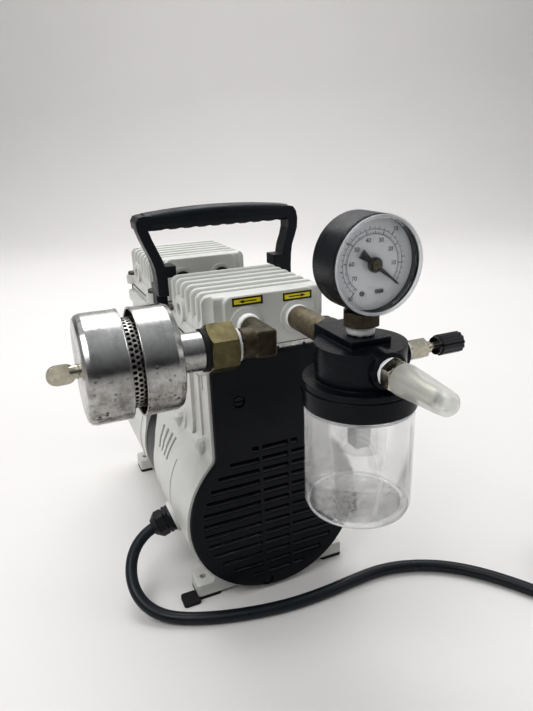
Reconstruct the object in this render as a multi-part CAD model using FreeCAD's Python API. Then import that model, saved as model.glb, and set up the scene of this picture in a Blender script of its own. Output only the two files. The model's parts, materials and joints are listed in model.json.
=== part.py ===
import FreeCAD, Part
import math
import os

# Oil-free twin-head vacuum pump with an inlet moisture trap and an outlet silencer.
# Millimetres. Origin: on the floor at the centre of the four foot holes.
# X to the right, Y to the back, Z up. The front of the pump faces -Y.

V = FreeCAD.Vector
X = V(1, 0, 0)
Y = V(0, 1, 0)
Z = V(0, 0, 1)

# ---- driving dimensions: crankcase and motor ----
CRANK_Z = 74.0            # height of the shaft
BARREL_R = 72.5
WALL = 4.0
NECK_HALF = 49.0
CASE_END = 130.0          # distance of a crankcase's open end from the middle
STATOR_HALF = 18.0
DECK_Z = 205.0
DECK_THICK = 9.0
HEAD_OFFSET = 80.0        # distance of each cylinder from the middle
FOOT_X = 58.5
FOOT_Y = 110.0
FOOT_HOLE_R = 2.5
PAD_THICK = 3.0
SHAFT_R = 6.0
BEARING_R = 16.0
BEARING_WIDTH = 9.0
BEARING_WALL = 56.0
RUNNING_GAP = 0.03

# ---- driving dimensions: piston gear ----
THROW = 5.0
SLEEVE_R = 30.0
SLEEVE_BORE = 27.0
CUP_R = SLEEVE_BORE - THROW - 0.4
PISTON_TOP = 202.0

# ---- driving dimensions: heads ----
PLATE_Z = 211.0
HEAD_Z = 212.0
FIN_TOP = 250.0
FIN_COUNT = 7
FIN_SPAN = 80.0
FIN_THICK = 4.4
EAR_X = 46.0
EAR_Y = 47.0
PORT_X = 19.0
PORT_Z = 230.5
PORT_R = 6.86             # quarter-inch pipe thread
PANEL_OUT = 52.5          # port panel plane, from the head's centre
HEAD_HALF = 46.5
HEAD_CORNER = 6.0
GROOVE_DEPTH = 3.0
SIDE_PORT = (16.0, 228.0)  # from the head's centre, and height
SIDE_PORT_R = 5.0
SCREW_R = 2.5
TUBE_R = 6.0

# ---- driving dimensions: fan covers ----
COVER_R = 70.5
COVER_NECK = 47.0
COVER_TOP = 207.0
COVER_THICK = 3.0
COVER_SCREWS = [(-27, 173), (27, 173), (-10, 9.5)]
SLOT_PITCH = 9.45
SLOT_HEIGHT = 5.2
SLOT_ROWS = 6             # rows above and below the middle one
SLOT_REACH = 60.5
RIB_X = 12.0
RIB_WIDTH = 2.6

# ---- driving dimensions: trap, gauge and fittings ----
TRAP_Y = -219.0
TRAP_R = 27.0
COLLAR_R = 34.3
BOWL_R = 33.4
BOWL_BOTTOM = 129.0
BOWL_TOP = 199.0
GAUGE_Z = 283.6
GAUGE_R = 27.75
GAUGE_FACE = -237.5
GAUGE_BACK = -207.6
BARB_Z = 228.0
BARB_HEX = -252.3         # where the barb's hexagon starts
BARB_TIP = -289.0
CAP_START = -261.0
CAP_END = -300.5
BLEED_Z = 225.0
BLEED_FACE = 48.7         # end of the boss that takes the bleed valve
KNOB_START = 70.7
KNOB_END = 91.0
KNOB_R = 6.6

# ---- driving dimensions: silencer ----
SIL_Y = -166.0
SIL_Z = 228.2
CAN_R = 32.5
CAN_THICK = 0.9
BASE_X = (-102.5, -79.0)
COVER_X = (-134.6, -109.6)
HEX_X = (-59.0, -40.8)
SLEEVE_MESH_R = 27.0
STUD_R = 2.5
STUD_OUT = 4.0            # reach of the stud past the cover
ELBOW_START = -142.0      # front of the tape at the outlet port

# ---- driving dimensions: handle ----
HANDLE_MID = 4.0          # middle of the handle along X
GRIP_UNDER = 284.5
GRIP_END_TOP = 297.5
GRIP_CROWN = 301.0
GRIP_LEFT = 64.0          # reach of the grip from the handle's middle
GRIP_RIGHT = 59.0
HANDLE_Y = (-33.0, -9.0)
ARM_BACK = -17.0
HANDLE_FOOT_Y = (-24.0, -9.0)
HANDLE_SCREW = (41.0, -16.5)

# ---- driving dimensions: power cord ----
CORD_R = 4.7
GLAND_Y = -72.0
GLAND_ANGLE = 198.0       # about the barrel's axis, from +X
GLAND_SEAT = BARREL_R + 2.5
COIL_CENTRE = V(251, -250, 0)
COIL_R = 48.5
PLUG_AHEAD = 52.0         # from the coil's middle to the plug body
CORD_ROUTE = [
    (-78, -72, 48.7), (-88.5, -72, 45.2), (-98.5, -75, 41), (-106.5, -81, 36), (-112, -90, 30),
    (-114.5, -101, 23), (-113, -112.5, 16), (-107, -122.5, 10), (-98, -131, 6.4), (-86, -138, 4.8),
    (-71.5, -145, 4.8), (-53, -151.5, 4.8), (-29, -157.5, 4.8), (-2, -161.5, 4.8), (28, -161.5, 4.8),
    (56, -159, 4.8), (82, -158, 4.8), (105, -163, 4.8), (127, -173, 4.8), (147, -188.5, 4.8),
    (164, -208.5, 4.8), (178.5, -231, 4.8), (192.5, -256, 4.8),
]


# ---- small shape helpers ----
def cylinder(radius, length, start, direction=Z):
    return Part.makeCylinder(radius, length, start, direction)


def ring(outer, inner, length, start, direction=Z):
    return cylinder(outer, length, start, direction).cut(cylinder(inner, length, start, direction))


def box(x0, x1, y0, y1, z0, z1):
    return Part.makeBox(x1 - x0, y1 - y0, z1 - z0, V(x0, y0, z0))


def fuse(*shapes):
    whole = shapes[0].fuse(list(shapes[1:]))
    return whole.removeSplitter()


def cut(shape, *tools):
    return shape.cut(list(tools)).removeSplitter()


def mirror_y(shape):
    return shape.mirror(V(0, 0, 0), Y)


def mirror_x(shape):
    return shape.mirror(V(0, 0, 0), X)


def moved(shape, dx=0, dy=0, dz=0):
    copy = shape.copy()
    copy.translate(V(dx, dy, dz))
    return copy


def save(name, shape):
    shape.exportStep(os.path.join("parts", name + ".step"))


def save_group(name, shapes):
    save(name, Part.makeCompound(shapes))


def hexagon(across_flats, length, start, direction, side=None):
    """A hexagonal bar with both ends chamfered; two corners lie along side."""
    corner = across_flats / math.sqrt(3)
    side = side or (Z if abs(direction.z) < 0.5 else X)
    other = direction.cross(side)
    points = []
    for i in range(7):
        turn = math.radians(60 * i)
        points.append(start + side * (corner * math.cos(turn)) + other * (corner * math.sin(turn)))
    bar = Part.Face(Part.makePolygon(points)).extrude(direction * length)
    rise = (corner - across_flats / 2) * math.tan(math.radians(30))
    flat = across_flats / 2 - 0.2
    outline = [(0, 0), (0, flat), (rise, corner), (length - rise, corner), (length, flat), (length, 0)]
    chamfer = revolve(outline, start, direction, side)
    return bar.common(chamfer)


def revolve(points, start, direction, side):
    """Solid of revolution from (distance along direction, radius) pairs."""
    corners = [start + direction * a + side * r for a, r in points]
    face = Part.Face(Part.makePolygon(corners + corners[:1]))
    return face.revolve(start, direction, 360)


def polygon_xz(points, y0, y1):
    corners = [V(x, y0, z) for x, z in points]
    return Part.Face(Part.makePolygon(corners + corners[:1])).extrude(V(0, y1 - y0, 0))


def arch(half, z0, z1, corner, y0, y1):
    """A slab across X with two rounded top corners."""
    bend = corner * (1 - math.sqrt(0.5))
    path = [
        Part.LineSegment(V(-half, y0, z0), V(-half, y0, z1 - corner)),
        Part.Arc(V(-half, y0, z1 - corner), V(-half + bend, y0, z1 - bend), V(-half + corner, y0, z1)),
        Part.LineSegment(V(-half + corner, y0, z1), V(half - corner, y0, z1)),
        Part.Arc(V(half - corner, y0, z1), V(half - bend, y0, z1 - bend), V(half, y0, z1 - corner)),
        Part.LineSegment(V(half, y0, z1 - corner), V(half, y0, z0)),
        Part.LineSegment(V(half, y0, z0), V(-half, y0, z0)),
    ]
    wire = Part.Wire([piece.toShape() for piece in path])
    return Part.Face(wire).extrude(V(0, y1 - y0, 0))


def keyhole(radius, half, top, neck_corner, y0, y1):
    """A round lower part that runs up into a straight neck, joined by hollow fillets."""
    fillet = 10.0 + (BARREL_R - radius)
    reach = half + fillet
    rise = math.sqrt((radius + fillet) ** 2 - reach ** 2)
    share = radius / (radius + fillet)
    low = (reach * share, CRANK_Z + rise * share)
    turn = math.atan2(rise, reach) / 2
    hollow = (reach - fillet * math.cos(turn), CRANK_Z + rise - fillet * math.sin(turn))
    line_z = CRANK_Z + rise
    bend = neck_corner * (1 - math.sqrt(0.5))
    path = [
        Part.Arc(V(low[0], y0, low[1]), V(0, y0, CRANK_Z - radius), V(-low[0], y0, low[1])),
        Part.Arc(V(-low[0], y0, low[1]), V(-hollow[0], y0, hollow[1]), V(-half, y0, line_z)),
        Part.LineSegment(V(-half, y0, line_z), V(-half, y0, top - neck_corner)),
        Part.Arc(V(-half, y0, top - neck_corner), V(-half + bend, y0, top - bend),
                 V(-half + neck_corner, y0, top)),
        Part.LineSegment(V(-half + neck_corner, y0, top), V(half - neck_corner, y0, top)),
        Part.Arc(V(half - neck_corner, y0, top), V(half - bend, y0, top - bend),
                 V(half, y0, top - neck_corner)),
        Part.LineSegment(V(half, y0, top - neck_corner), V(half, y0, line_z)),
        Part.Arc(V(half, y0, line_z), V(hollow[0], y0, hollow[1]), V(low[0], y0, low[1])),
    ]
    wire = Part.Wire([piece.toShape() for piece in path])
    return Part.Face(wire).extrude(V(0, y1 - y0, 0))


def plate_xy(half_x, half_y, centre_y, corner, z0, z1):
    """A flat plate with four rounded upright corners."""
    slab = box(-half_x, half_x, centre_y - half_y, centre_y + half_y, z0, z1)
    upright = [e for e in slab.Edges if abs(e.tangentAt(e.FirstParameter).z) > 0.9]
    return slab.makeFillet(corner, upright)


def round_outline(shape, radius, y):
    """Round the edges that lie in the plane at this y."""
    edges = [e for e in shape.Edges if all(abs(v.Y - y) < 1e-6 for v in e.Vertexes)]
    return shape.makeFillet(radius, edges)


def ear_points(centre_y):
    return [V(sx * EAR_X, centre_y + sy * EAR_Y, 0) for sx in (-1, 1) for sy in (-1, 1)]


# ---- crankcases ----
def foot(side):
    """A cast foot with a web up to the barrel, on the left (-1) or right (1)."""
    outline = [(20, PAD_THICK), (66, PAD_THICK), (66, 12), (64, 13.5), (53, 13.5), (46, 31), (20, 31)]
    outline = [(side * x, z) for x, z in outline]
    solid = polygon_xz(outline, -121, -99)
    upright = [e for e in solid.Edges if abs(e.tangentAt(e.FirstParameter).z) > 0.9]
    upright = [e for e in upright if abs(e.Vertexes[0].X) > FOOT_X]
    solid = solid.makeFillet(2.5, upright)
    hole = cylinder(FOOT_HOLE_R, 20, V(side * FOOT_X, -FOOT_Y, 0))
    return solid.cut(hole)


def side_vents():
    """Four slanted cooling slots through the left wall of the barrel."""
    half = 1.7
    slots = []
    for i in range(4):
        y = -33.5 - 8.4 * i
        blade = box(-BARREL_R - 6, -BARREL_R + 9, y - half, y + half, CRANK_Z - 10.5, CRANK_Z + 10.5)
        blade.rotate(V(0, 0, CRANK_Z), Y, 28)
        slots.append(blade)
    return slots


def gland_frame():
    turn = math.radians(GLAND_ANGLE)
    return V(math.cos(turn), 0, math.sin(turn))


def shoulder():
    """Flanks that widen smoothly from the barrel into the clamped end next to the stator."""
    rings = []
    for y, flank in (
        (-63, [(70.6, 86), (63.8, 107), (51.9, 124), (48.2, 145)]),
        (-STATOR_HALF, [(70.6, 86), (67.5, 107), (63.8, 124), (52, 145)]),
    ):
        corners = [V(-x, y, z) for x, z in flank] + [V(x, y, z) for x, z in reversed(flank)]
        rings.append(Part.makePolygon(corners + corners[:1]))
    block = Part.makeLoft(rings, True, True)
    return block.cut(cylinder(66, 60, V(0, -70, CRANK_Z), Y))


def crankcase():
    """The front casting, open at both ends, with its bearing wall, deck and feet."""
    end = -CASE_END
    outer = keyhole(BARREL_R, NECK_HALF, DECK_Z, 3, end, -36)
    barrel = cylinder(BARREL_R - 0.5, 60 - STATOR_HALF, V(0, -60, CRANK_Z), Y)
    ledge = box(-57, 57, -36, -8, DECK_Z - 14, DECK_Z)
    deck = plate_xy(53, 50, -HEAD_OFFSET, 7, DECK_Z - DECK_THICK, DECK_Z)
    feet = [foot(-1), foot(1)]
    body = fuse(outer, barrel, shoulder(), ledge, deck, *feet)

    front_room = keyhole(BARREL_R - WALL, NECK_HALF - WALL, DECK_Z - DECK_THICK, 3, end - 1, -62)
    motor_room = cylinder(66, BEARING_WALL - STATOR_HALF, V(0, -BEARING_WALL, CRANK_Z), Y)
    neck_room = box(-42, 42, -62.5, -40, 152, DECK_Z - DECK_THICK)
    sleeve_hole = cylinder(SLEEVE_R, 30, V(0, -HEAD_OFFSET, DECK_Z - 20))
    flange_seat = cylinder(33, 3, V(0, -HEAD_OFFSET, DECK_Z - 3))
    body = cut(body, front_room, motor_room, neck_room, sleeve_hole, flange_seat)

    boss = cylinder(21, 10, V(0, -66, CRANK_Z), Y)
    body = fuse(body, boss)
    bore = cylinder(BEARING_R, BEARING_WIDTH, V(0, -BEARING_WALL - BEARING_WIDTH, CRANK_Z), Y)
    lip = cylinder(BEARING_R, 3, V(0, -68, CRANK_Z), Y)
    shaft_way = cylinder(9, 20, V(0, -70, CRANK_Z), Y)
    air_ways = []
    for i in range(6):
        turn = math.radians(60 * i + 30)
        at = V(43 * math.cos(turn), -70, CRANK_Z + 43 * math.sin(turn))
        air_ways.append(cylinder(10, 16, at, Y))
    bolts = [cylinder(SCREW_R, 20, p + V(0, 0, DECK_Z - DECK_THICK)) for p in ear_points(-HEAD_OFFSET)]
    body = cut(body, bore, lip, shaft_way, *air_ways, *bolts)
    return body


def front_features(body):
    """What only the front casting carries: handle taps and the left wall's details."""
    half = NECK_HALF
    right_ledge = box(50, 65, -36, -8, DECK_Z - 14, DECK_Z)
    body = fuse(body, right_ledge)
    taps = []
    for side in (-1, 1):
        at = V(HANDLE_MID + side * HANDLE_SCREW[0], HANDLE_SCREW[1], DECK_Z - 12)
        taps.append(cylinder(SCREW_R, 13, at))
    groove = [(-104, 198), (-84, 198), (-82, 140), (-79, 128), (-90, 134), (-99, 142)]
    corners = [V(-half - 2, y, z) for y, z in groove]
    recess = Part.Face(Part.makePolygon(corners + corners[:1])).extrude(V(4.6, 0, 0))
    slot = box(-half - 1, -half + 5, -119, -116.5, 181, 195)
    body = cut(body, *taps, recess, slot, *side_vents())
    drops = []
    for x, y, z in ((-53.5, -54, 123), (-50.8, -108, 121)):
        at = V(x, y, z)
        drops.append(Part.makeCone(0.8, 5.4, 12, at, Z))
        drops.append(Part.makeCone(5.4, 3.2, 3, at + Z * 12, Z))
    ridge = box(-half - 1.4, -half + 1, -112, -106, 142, 190)
    seam = ring(BARREL_R + 1, BARREL_R - 1.2, 1.8, V(0, -80, CRANK_Z), Y)
    window = polygon_xz([(0, CRANK_Z), (-90, CRANK_Z + 48), (-90, CRANK_Z - 8)], -82, -76)
    seam = seam.common(window)
    out = gland_frame()
    seat = cylinder(13.5, 14, V(0, GLAND_Y, CRANK_Z) + out * (GLAND_SEAT - 14), out)
    body = fuse(body, seat, ridge, *drops)
    gland_hole = cylinder(9, 20, V(0, GLAND_Y, CRANK_Z) + out * (BARREL_R - 14), out)
    room = cylinder(BARREL_R - WALL, 40, V(0, -100, CRANK_Z), Y)
    return cut(body, seam, gland_hole, room.cut(box(-100, 100, -100, -60, CRANK_Z, 200)))


def foot_pads():
    """Four rubber pads; the front left one has slipped out and shows past its foot."""
    pads = []
    for sx in (-1, 1):
        for sy in (-1, 1):
            y = sy * FOOT_Y
            pad = plate_xy(10, 11, y, 3, 0, PAD_THICK)
            pad.translate(V(sx * 56, 0, 0))
            if (sx, sy) == (-1, -1):
                flap = plate_xy(7, 7, y - 8, 2.5, 0, PAD_THICK)
                flap.translate(V(-72, 0, 0))
                pad = fuse(pad, flap)
            pads.append(pad.cut(cylinder(FOOT_HOLE_R, PAD_THICK, V(sx * FOOT_X, y, 0))))
    return pads


# ---- motor and shaft ----
def stator_core():
    """Laminated ring with twelve winding slots, clamped between the crankcases."""
    core = ring(70.5, 31.0, 2 * STATOR_HALF, V(0, -STATOR_HALF, CRANK_Z), Y)
    slots = []
    for i in range(12):
        slot = box(38, 56, -STATOR_HALF - 1, STATOR_HALF + 1, -4.5, 4.5)
        slot = slot.fuse(box(30, 39, -STATOR_HALF - 1, STATOR_HALF + 1, -1.5, 1.5))
        slot.rotate(V(0, 0, 0), Y, 30 * i)
        slots.append(moved(slot, dz=CRANK_Z))
    return cut(core, *slots)


def stator_windings():
    """Copper bundles in the slots and the two overhangs."""
    bundles = []
    for i in range(12):
        bar = box(38.4, 55.6, -STATOR_HALF - 2, STATOR_HALF + 2, -4.2, 4.2)
        bar.rotate(V(0, 0, 0), Y, 30 * i)
        bundles.append(moved(bar, dz=CRANK_Z))
    for y0 in (-36, STATOR_HALF + 0.5):
        overhang = ring(57, 37.5, 17.5, V(0, y0, CRANK_Z), Y)
        bundles.append(overhang)
    return fuse(*bundles)


def fan():
    """Radial cooling fan: hub, back plate and twelve blades."""
    hub = ring(11, SHAFT_R, 14, V(0, -118, CRANK_Z), Y)
    plate = ring(57, 10, 2, V(0, -106, CRANK_Z), Y)
    blades = []
    for i in range(12):
        blade = box(22, 56, -118, -105, -0.8, 0.8)
        blade.rotate(V(22, 0, 0), Y, 28)
        blade.rotate(V(0, 0, 0), Y, 30 * i)
        blades.append(moved(blade, dz=CRANK_Z))
    reach = cylinder(57, 14, V(0, -118.5, CRANK_Z), Y)
    return fuse(hub, plate, *[b.common(reach) for b in blades])


def eccentric():
    """Counterweight with the offset crank journal, bored for the shaft."""
    weight = cylinder(30, 5, V(0, -72, CRANK_Z), Y).common(box(-40, 40, -80, -60, 30, CRANK_Z + 6))
    collar = cylinder(13, 5, V(0, -72, CRANK_Z), Y)
    journal = cylinder(13, 17, V(0, -89, CRANK_Z + THROW), Y)
    return cut(fuse(weight, collar, journal), cylinder(SHAFT_R, 40, V(0, -100, CRANK_Z), Y))


def connecting_rod():
    """Big-end ring, waisted shank and piston table in one casting."""
    centre_z = CRANK_Z + THROW
    big_end = cylinder(25, 12, V(0, -86, centre_z), Y)
    shank = polygon_xz([(-12, centre_z + 18), (12, centre_z + 18), (7, 140), (7, 190), (-7, 190), (-7, 140)],
                       -85, -75)
    pocket = polygon_xz([(-5, centre_z + 34), (5, centre_z + 34), (3.5, 140), (3.5, 180), (-3.5, 180),
                         (-3.5, 140)], -86, -82.5)
    table = cylinder(19, 4, V(0, -HEAD_OFFSET, 189))
    whole = fuse(big_end, shank, table)
    tap = cylinder(2, 12, V(0, -HEAD_OFFSET, 182))
    return cut(whole, cylinder(20, 20, V(0, -90, centre_z), Y), pocket, moved(pocket, dy=8.5), tap)


def rod_bearing():
    return ring(20, 13 + RUNNING_GAP, 12, V(0, -86, CRANK_Z + THROW), Y)


def piston_cup():
    """Flared sealing cup clamped on the piston table."""
    points = [(193, 2.2), (193, CUP_R - 1), (196.5, CUP_R), (198.2, CUP_R), (196, CUP_R - 2),
              (194.6, CUP_R - 3), (194.6, 2.2)]
    return revolve(points, V(0, -HEAD_OFFSET, 0), Z, X)


def piston_retainer():
    disc = cylinder(17, 4, V(0, -HEAD_OFFSET, 194.6)).cut(cylinder(2, 10, V(0, -HEAD_OFFSET, 193)))
    screw = cylinder(2, 14.6, V(0, -HEAD_OFFSET, 184))
    head = cylinder(4.5, PISTON_TOP - 198.6, V(0, -HEAD_OFFSET, 198.6))
    return fuse(disc, screw, head)


# ---- cylinder tops ----
def cylinder_sleeve():
    sleeve = ring(SLEEVE_R, SLEEVE_BORE, 39, V(0, -HEAD_OFFSET, 163))
    flange = ring(33, SLEEVE_BORE, 3, V(0, -HEAD_OFFSET, DECK_Z - 3))
    return fuse(sleeve, flange)


def valve_plate():
    """Flat plate between sleeve and head, with port holes, reed seats and edge notches."""
    plate = plate_xy(48, 50, -HEAD_OFFSET, 6, DECK_Z, PLATE_Z)
    holes = [cylinder(SCREW_R, 10, p + V(0, 0, DECK_Z - 1)) for p in ear_points(-HEAD_OFFSET)]
    for side in (-1, 1):
        for i in range(3):
            at = V(side * 14, -HEAD_OFFSET + 8 * (i - 1), DECK_Z - 1)
            holes.append(cylinder(2.6, 10, at))
    notches = []
    for x in (-24, 6, 27):
        notches.append(box(x - 1, x + 1, -131, -126, DECK_Z + 2, DECK_Z + 4))
    return cut(plate, *holes, *notches)


def reed_valves():
    """Two spring-steel reeds: intake under the plate, exhaust on top of it."""
    reeds = []
    for side, z in ((1, DECK_Z - 0.35), (-1, PLATE_Z)):
        leaf = box(side * 14 - 4.5, side * 14 + 4.5, -HEAD_OFFSET - 13, -HEAD_OFFSET + 18, z, z + 0.35)
        reeds.append(leaf)
    return reeds


def head_gasket():
    sheet = plate_xy(47.5, 50, -HEAD_OFFSET, 6, PLATE_Z, HEAD_Z)
    holes = [cylinder(SCREW_R, 10, p + V(0, 0, PLATE_Z - 1)) for p in ear_points(-HEAD_OFFSET)]
    for side in (-1, 1):
        x0, x1 = sorted((side * 3, side * 37))
        holes.append(box(x0, x1, -HEAD_OFFSET - 34, -HEAD_OFFSET + 34, PLATE_Z - 1, HEAD_Z + 1))
    return cut(sheet, *holes)


def fin(y):
    """One cooling fin across the head, rounded over its ends and its crest."""
    slab = arch(HEAD_HALF, HEAD_Z + 14, FIN_TOP, HEAD_CORNER, y - FIN_THICK / 2, y + FIN_THICK / 2)
    rims = [e for e in slab.Edges if abs(e.tangentAt(e.FirstParameter).y) < 0.5]
    rims = [e for e in rims if max(v.Z for v in e.Vertexes) > HEAD_Z + 15]
    return slab.makeFillet(1.5, rims)


def head(port_radius, rear_bores):
    """A finned head centred on the front cylinder, with its port panel facing the front."""
    c = -HEAD_OFFSET
    core = arch(HEAD_HALF - GROOVE_DEPTH, HEAD_Z, FIN_TOP - GROOVE_DEPTH, HEAD_CORNER - 1, c - 42, c + 42)
    belly = arch(HEAD_HALF - 0.6, HEAD_Z, HEAD_Z + 20, 5, c - 41.5, c + 41.5)
    flange = plate_xy(HEAD_HALF + 1, 50, c, 7, HEAD_Z, HEAD_Z + 9)
    ears = [cylinder(7, 9, p + V(0, 0, HEAD_Z)) for p in ear_points(c)]
    step = FIN_SPAN / (FIN_COUNT - 1)
    fins = [fin(c - FIN_SPAN / 2 + step * i) for i in range(FIN_COUNT)]
    front_wall = arch(HEAD_HALF - 0.5, HEAD_Z, FIN_TOP, HEAD_CORNER, c - 47.5, c - 36)
    front_wall = round_outline(front_wall, 2.5, c - 47.5)
    panel = arch(34, HEAD_Z, FIN_TOP + 0.5, 6, c - PANEL_OUT, c - 38)
    panel = round_outline(panel, 1.2, c - PANEL_OUT)
    side_at = V(-HEAD_HALF - 1.5, c + SIDE_PORT[0], SIDE_PORT[1])
    bosses = [cylinder(11, 9.5, side_at, X)]
    for side in (-1, 1):
        bosses.append(cylinder(11.8, 4, V(side * PORT_X, c - PANEL_OUT - 2, PORT_Z), Y))
        bosses.append(cylinder(10, 8, V(side * PORT_X, c + 37, PORT_Z), Y))
    whole = fuse(core, belly, flange, front_wall, panel, *ears, *fins, *bosses)

    tools = [cylinder(SCREW_R, 12, p + V(0, 0, HEAD_Z - 1)) for p in ear_points(c)]
    tools += [cylinder(6, FIN_TOP, p + V(0, 0, HEAD_Z + 9)) for p in ear_points(c)]
    tools.append(cylinder(SIDE_PORT_R, 14, side_at - X, X))
    for side in (-1, 1):
        x0, x1 = sorted((side * 3, side * 37))
        tools.append(box(x0, x1, c - 34, c + 34, HEAD_Z - 1, FIN_TOP - 14))
        tools.append(cylinder(port_radius, 13, V(side * PORT_X, c - PANEL_OUT - 2, PORT_Z), Y))
        tools.append(cylinder(4, 24, V(side * PORT_X, c - PANEL_OUT, PORT_Z), Y))
        if rear_bores:
            tools.append(cylinder(TUBE_R, 8, V(side * PORT_X, c + 37, PORT_Z), Y))
            tools.append(cylinder(4, 8, V(side * PORT_X, c + 33, PORT_Z), Y))
    return cut(whole, *tools)


def head_screw(point):
    """Round slotted screw through an ear into the deck."""
    top = HEAD_Z + 9
    shank = cylinder(SCREW_R, top - DECK_Z + DECK_THICK, point + V(0, 0, DECK_Z - DECK_THICK))
    cap = cylinder(4.9, 3.4, point + V(0, 0, top))
    rim = [e for e in cap.Edges if abs(e.Vertexes[0].Z - top - 3.4) < 1e-6 and len(e.Vertexes) == 1]
    cap = cap.makeFillet(1.4, rim)
    slot = box(point.x - 6, point.x + 6, point.y - 0.7, point.y + 0.7, top + 1.8, top + 5)
    return fuse(shank, cap).cut(slot)


def transfer_tube(side):
    start = V(side * PORT_X, -HEAD_OFFSET + 37, PORT_Z)
    reach = (HEAD_OFFSET - PANEL_OUT - 2 + 11) - start.y
    return ring(TUBE_R, 4, reach, start, Y)


def tube_rings():
    """O-rings pressed against the sockets at both ends of the transfer tubes."""
    rings = []
    for side in (-1, 1):
        for y in (-HEAD_OFFSET + 45, HEAD_OFFSET - PANEL_OUT - 4):
            rings.append(ring(8.5, TUBE_R, 2, V(side * PORT_X, y, PORT_Z), Y))
    return rings


# ---- fan cover ----
def louvre_slots():
    """Horizontal slots in rows, split by two upright ribs, inside the round part."""
    slots = []
    columns = ((-SLOT_REACH, -RIB_X - RIB_WIDTH / 2), (-RIB_X + RIB_WIDTH / 2, RIB_X - RIB_WIDTH / 2),
               (RIB_X + RIB_WIDTH / 2, SLOT_REACH))
    for row in range(-SLOT_ROWS, SLOT_ROWS + 1):
        z = CRANK_Z + 0.8 + row * SLOT_PITCH
        chord = math.sqrt(SLOT_REACH ** 2 - (z - CRANK_Z) ** 2) if abs(z - CRANK_Z) < SLOT_REACH else 0
        for x0, x1 in columns:
            a, b = max(x0, -chord), min(x1, chord)
            if b - a > 4:
                low, high = z - SLOT_HEIGHT / 2, z + SLOT_HEIGHT / 2
                slots.append(box(a, b, -CASE_END - 5, -CASE_END + 1, low, high))
    return slots


def cover_screw_points():
    return [V(x, 0, z) for x, z in COVER_SCREWS]


def fan_cover():
    face_y = -CASE_END - COVER_THICK
    plate = keyhole(COVER_R, COVER_NECK, COVER_TOP, 3, face_y, -CASE_END)
    plate = round_outline(plate, 1.2, face_y)
    bore_r, bore_half, bore_top = BARREL_R - WALL, NECK_HALF - WALL, DECK_Z - DECK_THICK
    play, lip_in = 0.3, 2.5
    lip = keyhole(bore_r - play, bore_half - play, bore_top - play, 3, -CASE_END, -122)
    room = keyhole(bore_r - lip_in, bore_half - lip_in, bore_top - lip_in, 3, -CASE_END, -121)
    posts = [cylinder(4.5, 8, p + V(0, -CASE_END, 0), Y).common(lip) for p in cover_screw_points()]
    cover = fuse(plate, lip.cut(room), *posts)
    holes = []
    for p in cover_screw_points():
        holes.append(cylinder(4.8, 2.2, p + V(0, face_y, 0), Y))
        holes.append(cylinder(2, 14, p + V(0, face_y, 0), Y))
    return cut(cover, *holes, *louvre_slots())


def fan_cover_screws():
    screws = []
    face_y = -CASE_END - COVER_THICK
    for p in cover_screw_points():
        cap = cylinder(3.7, 1.3, p + V(0, face_y + 0.9, 0), Y)
        shank = cylinder(2, 10, p + V(0, face_y + 2.2, 0), Y)
        slot = box(p.x - 4, p.x + 4, face_y, face_y + 1.6, p.z - 0.5, p.z + 0.5)
        screws.append(fuse(cap, shank).cut(slot))
    return screws


# ---- handle ----
def handle_arm(outer, inner):
    """Right arm about x = 0: a thin curved blade, bulged at the top, with a lug and a foot."""
    arm = polygon_xz(outer + inner, HANDLE_Y[0], ARM_BACK)
    reach = inner[-1][0] - 4
    ear = polygon_xz([(reach, 287), (reach, outer[0][1])] + outer[:4], *HANDLE_Y)
    ear = round_outline(ear, 1.5, HANDLE_Y[1])
    lug = box(43.5, 53, HANDLE_Y[0], ARM_BACK, 247, 256)
    leg = box(50.5, 59.5, HANDLE_FOOT_Y[0], HANDLE_FOOT_Y[1], DECK_Z, 240)
    foot_tab = box(36, 59.5, HANDLE_FOOT_Y[0], HANDLE_FOOT_Y[1], DECK_Z, DECK_Z + 6)
    whole = fuse(arm, ear, lug, leg, foot_tab)
    hole = cylinder(SCREW_R, 20, V(HANDLE_SCREW[0], HANDLE_SCREW[1], DECK_Z - 5))
    return whole.cut(hole)


def handle_grip():
    """Crowned bar between the arms, rippled underneath; it reaches further to the left."""
    left, right = -GRIP_LEFT, GRIP_RIGHT
    y0 = HANDLE_Y[0]
    path = [
        Part.LineSegment(V(left, y0, GRIP_UNDER), V(left, y0, GRIP_END_TOP)),
        Part.Arc(V(left, y0, GRIP_END_TOP), V(0, y0, GRIP_CROWN), V(right, y0, GRIP_END_TOP)),
        Part.LineSegment(V(right, y0, GRIP_END_TOP), V(right, y0, GRIP_UNDER)),
        Part.LineSegment(V(right, y0, GRIP_UNDER), V(left, y0, GRIP_UNDER)),
    ]
    outline = Part.Wire([piece.toShape() for piece in path])
    grip = Part.Face(outline).extrude(V(0, HANDLE_Y[1] - y0, 0))
    along = [e for e in grip.Edges if abs(e.Vertexes[0].X - e.Vertexes[1].X) > right]
    grip = grip.makeFillet(5.5, along)
    ripples = []
    for i in range(9):
        ripples.append(cylinder(7, 40, V(-48 + 12 * i, -45, GRIP_UNDER - 5.9), Y))
    return grip.cut(ripples)


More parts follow.
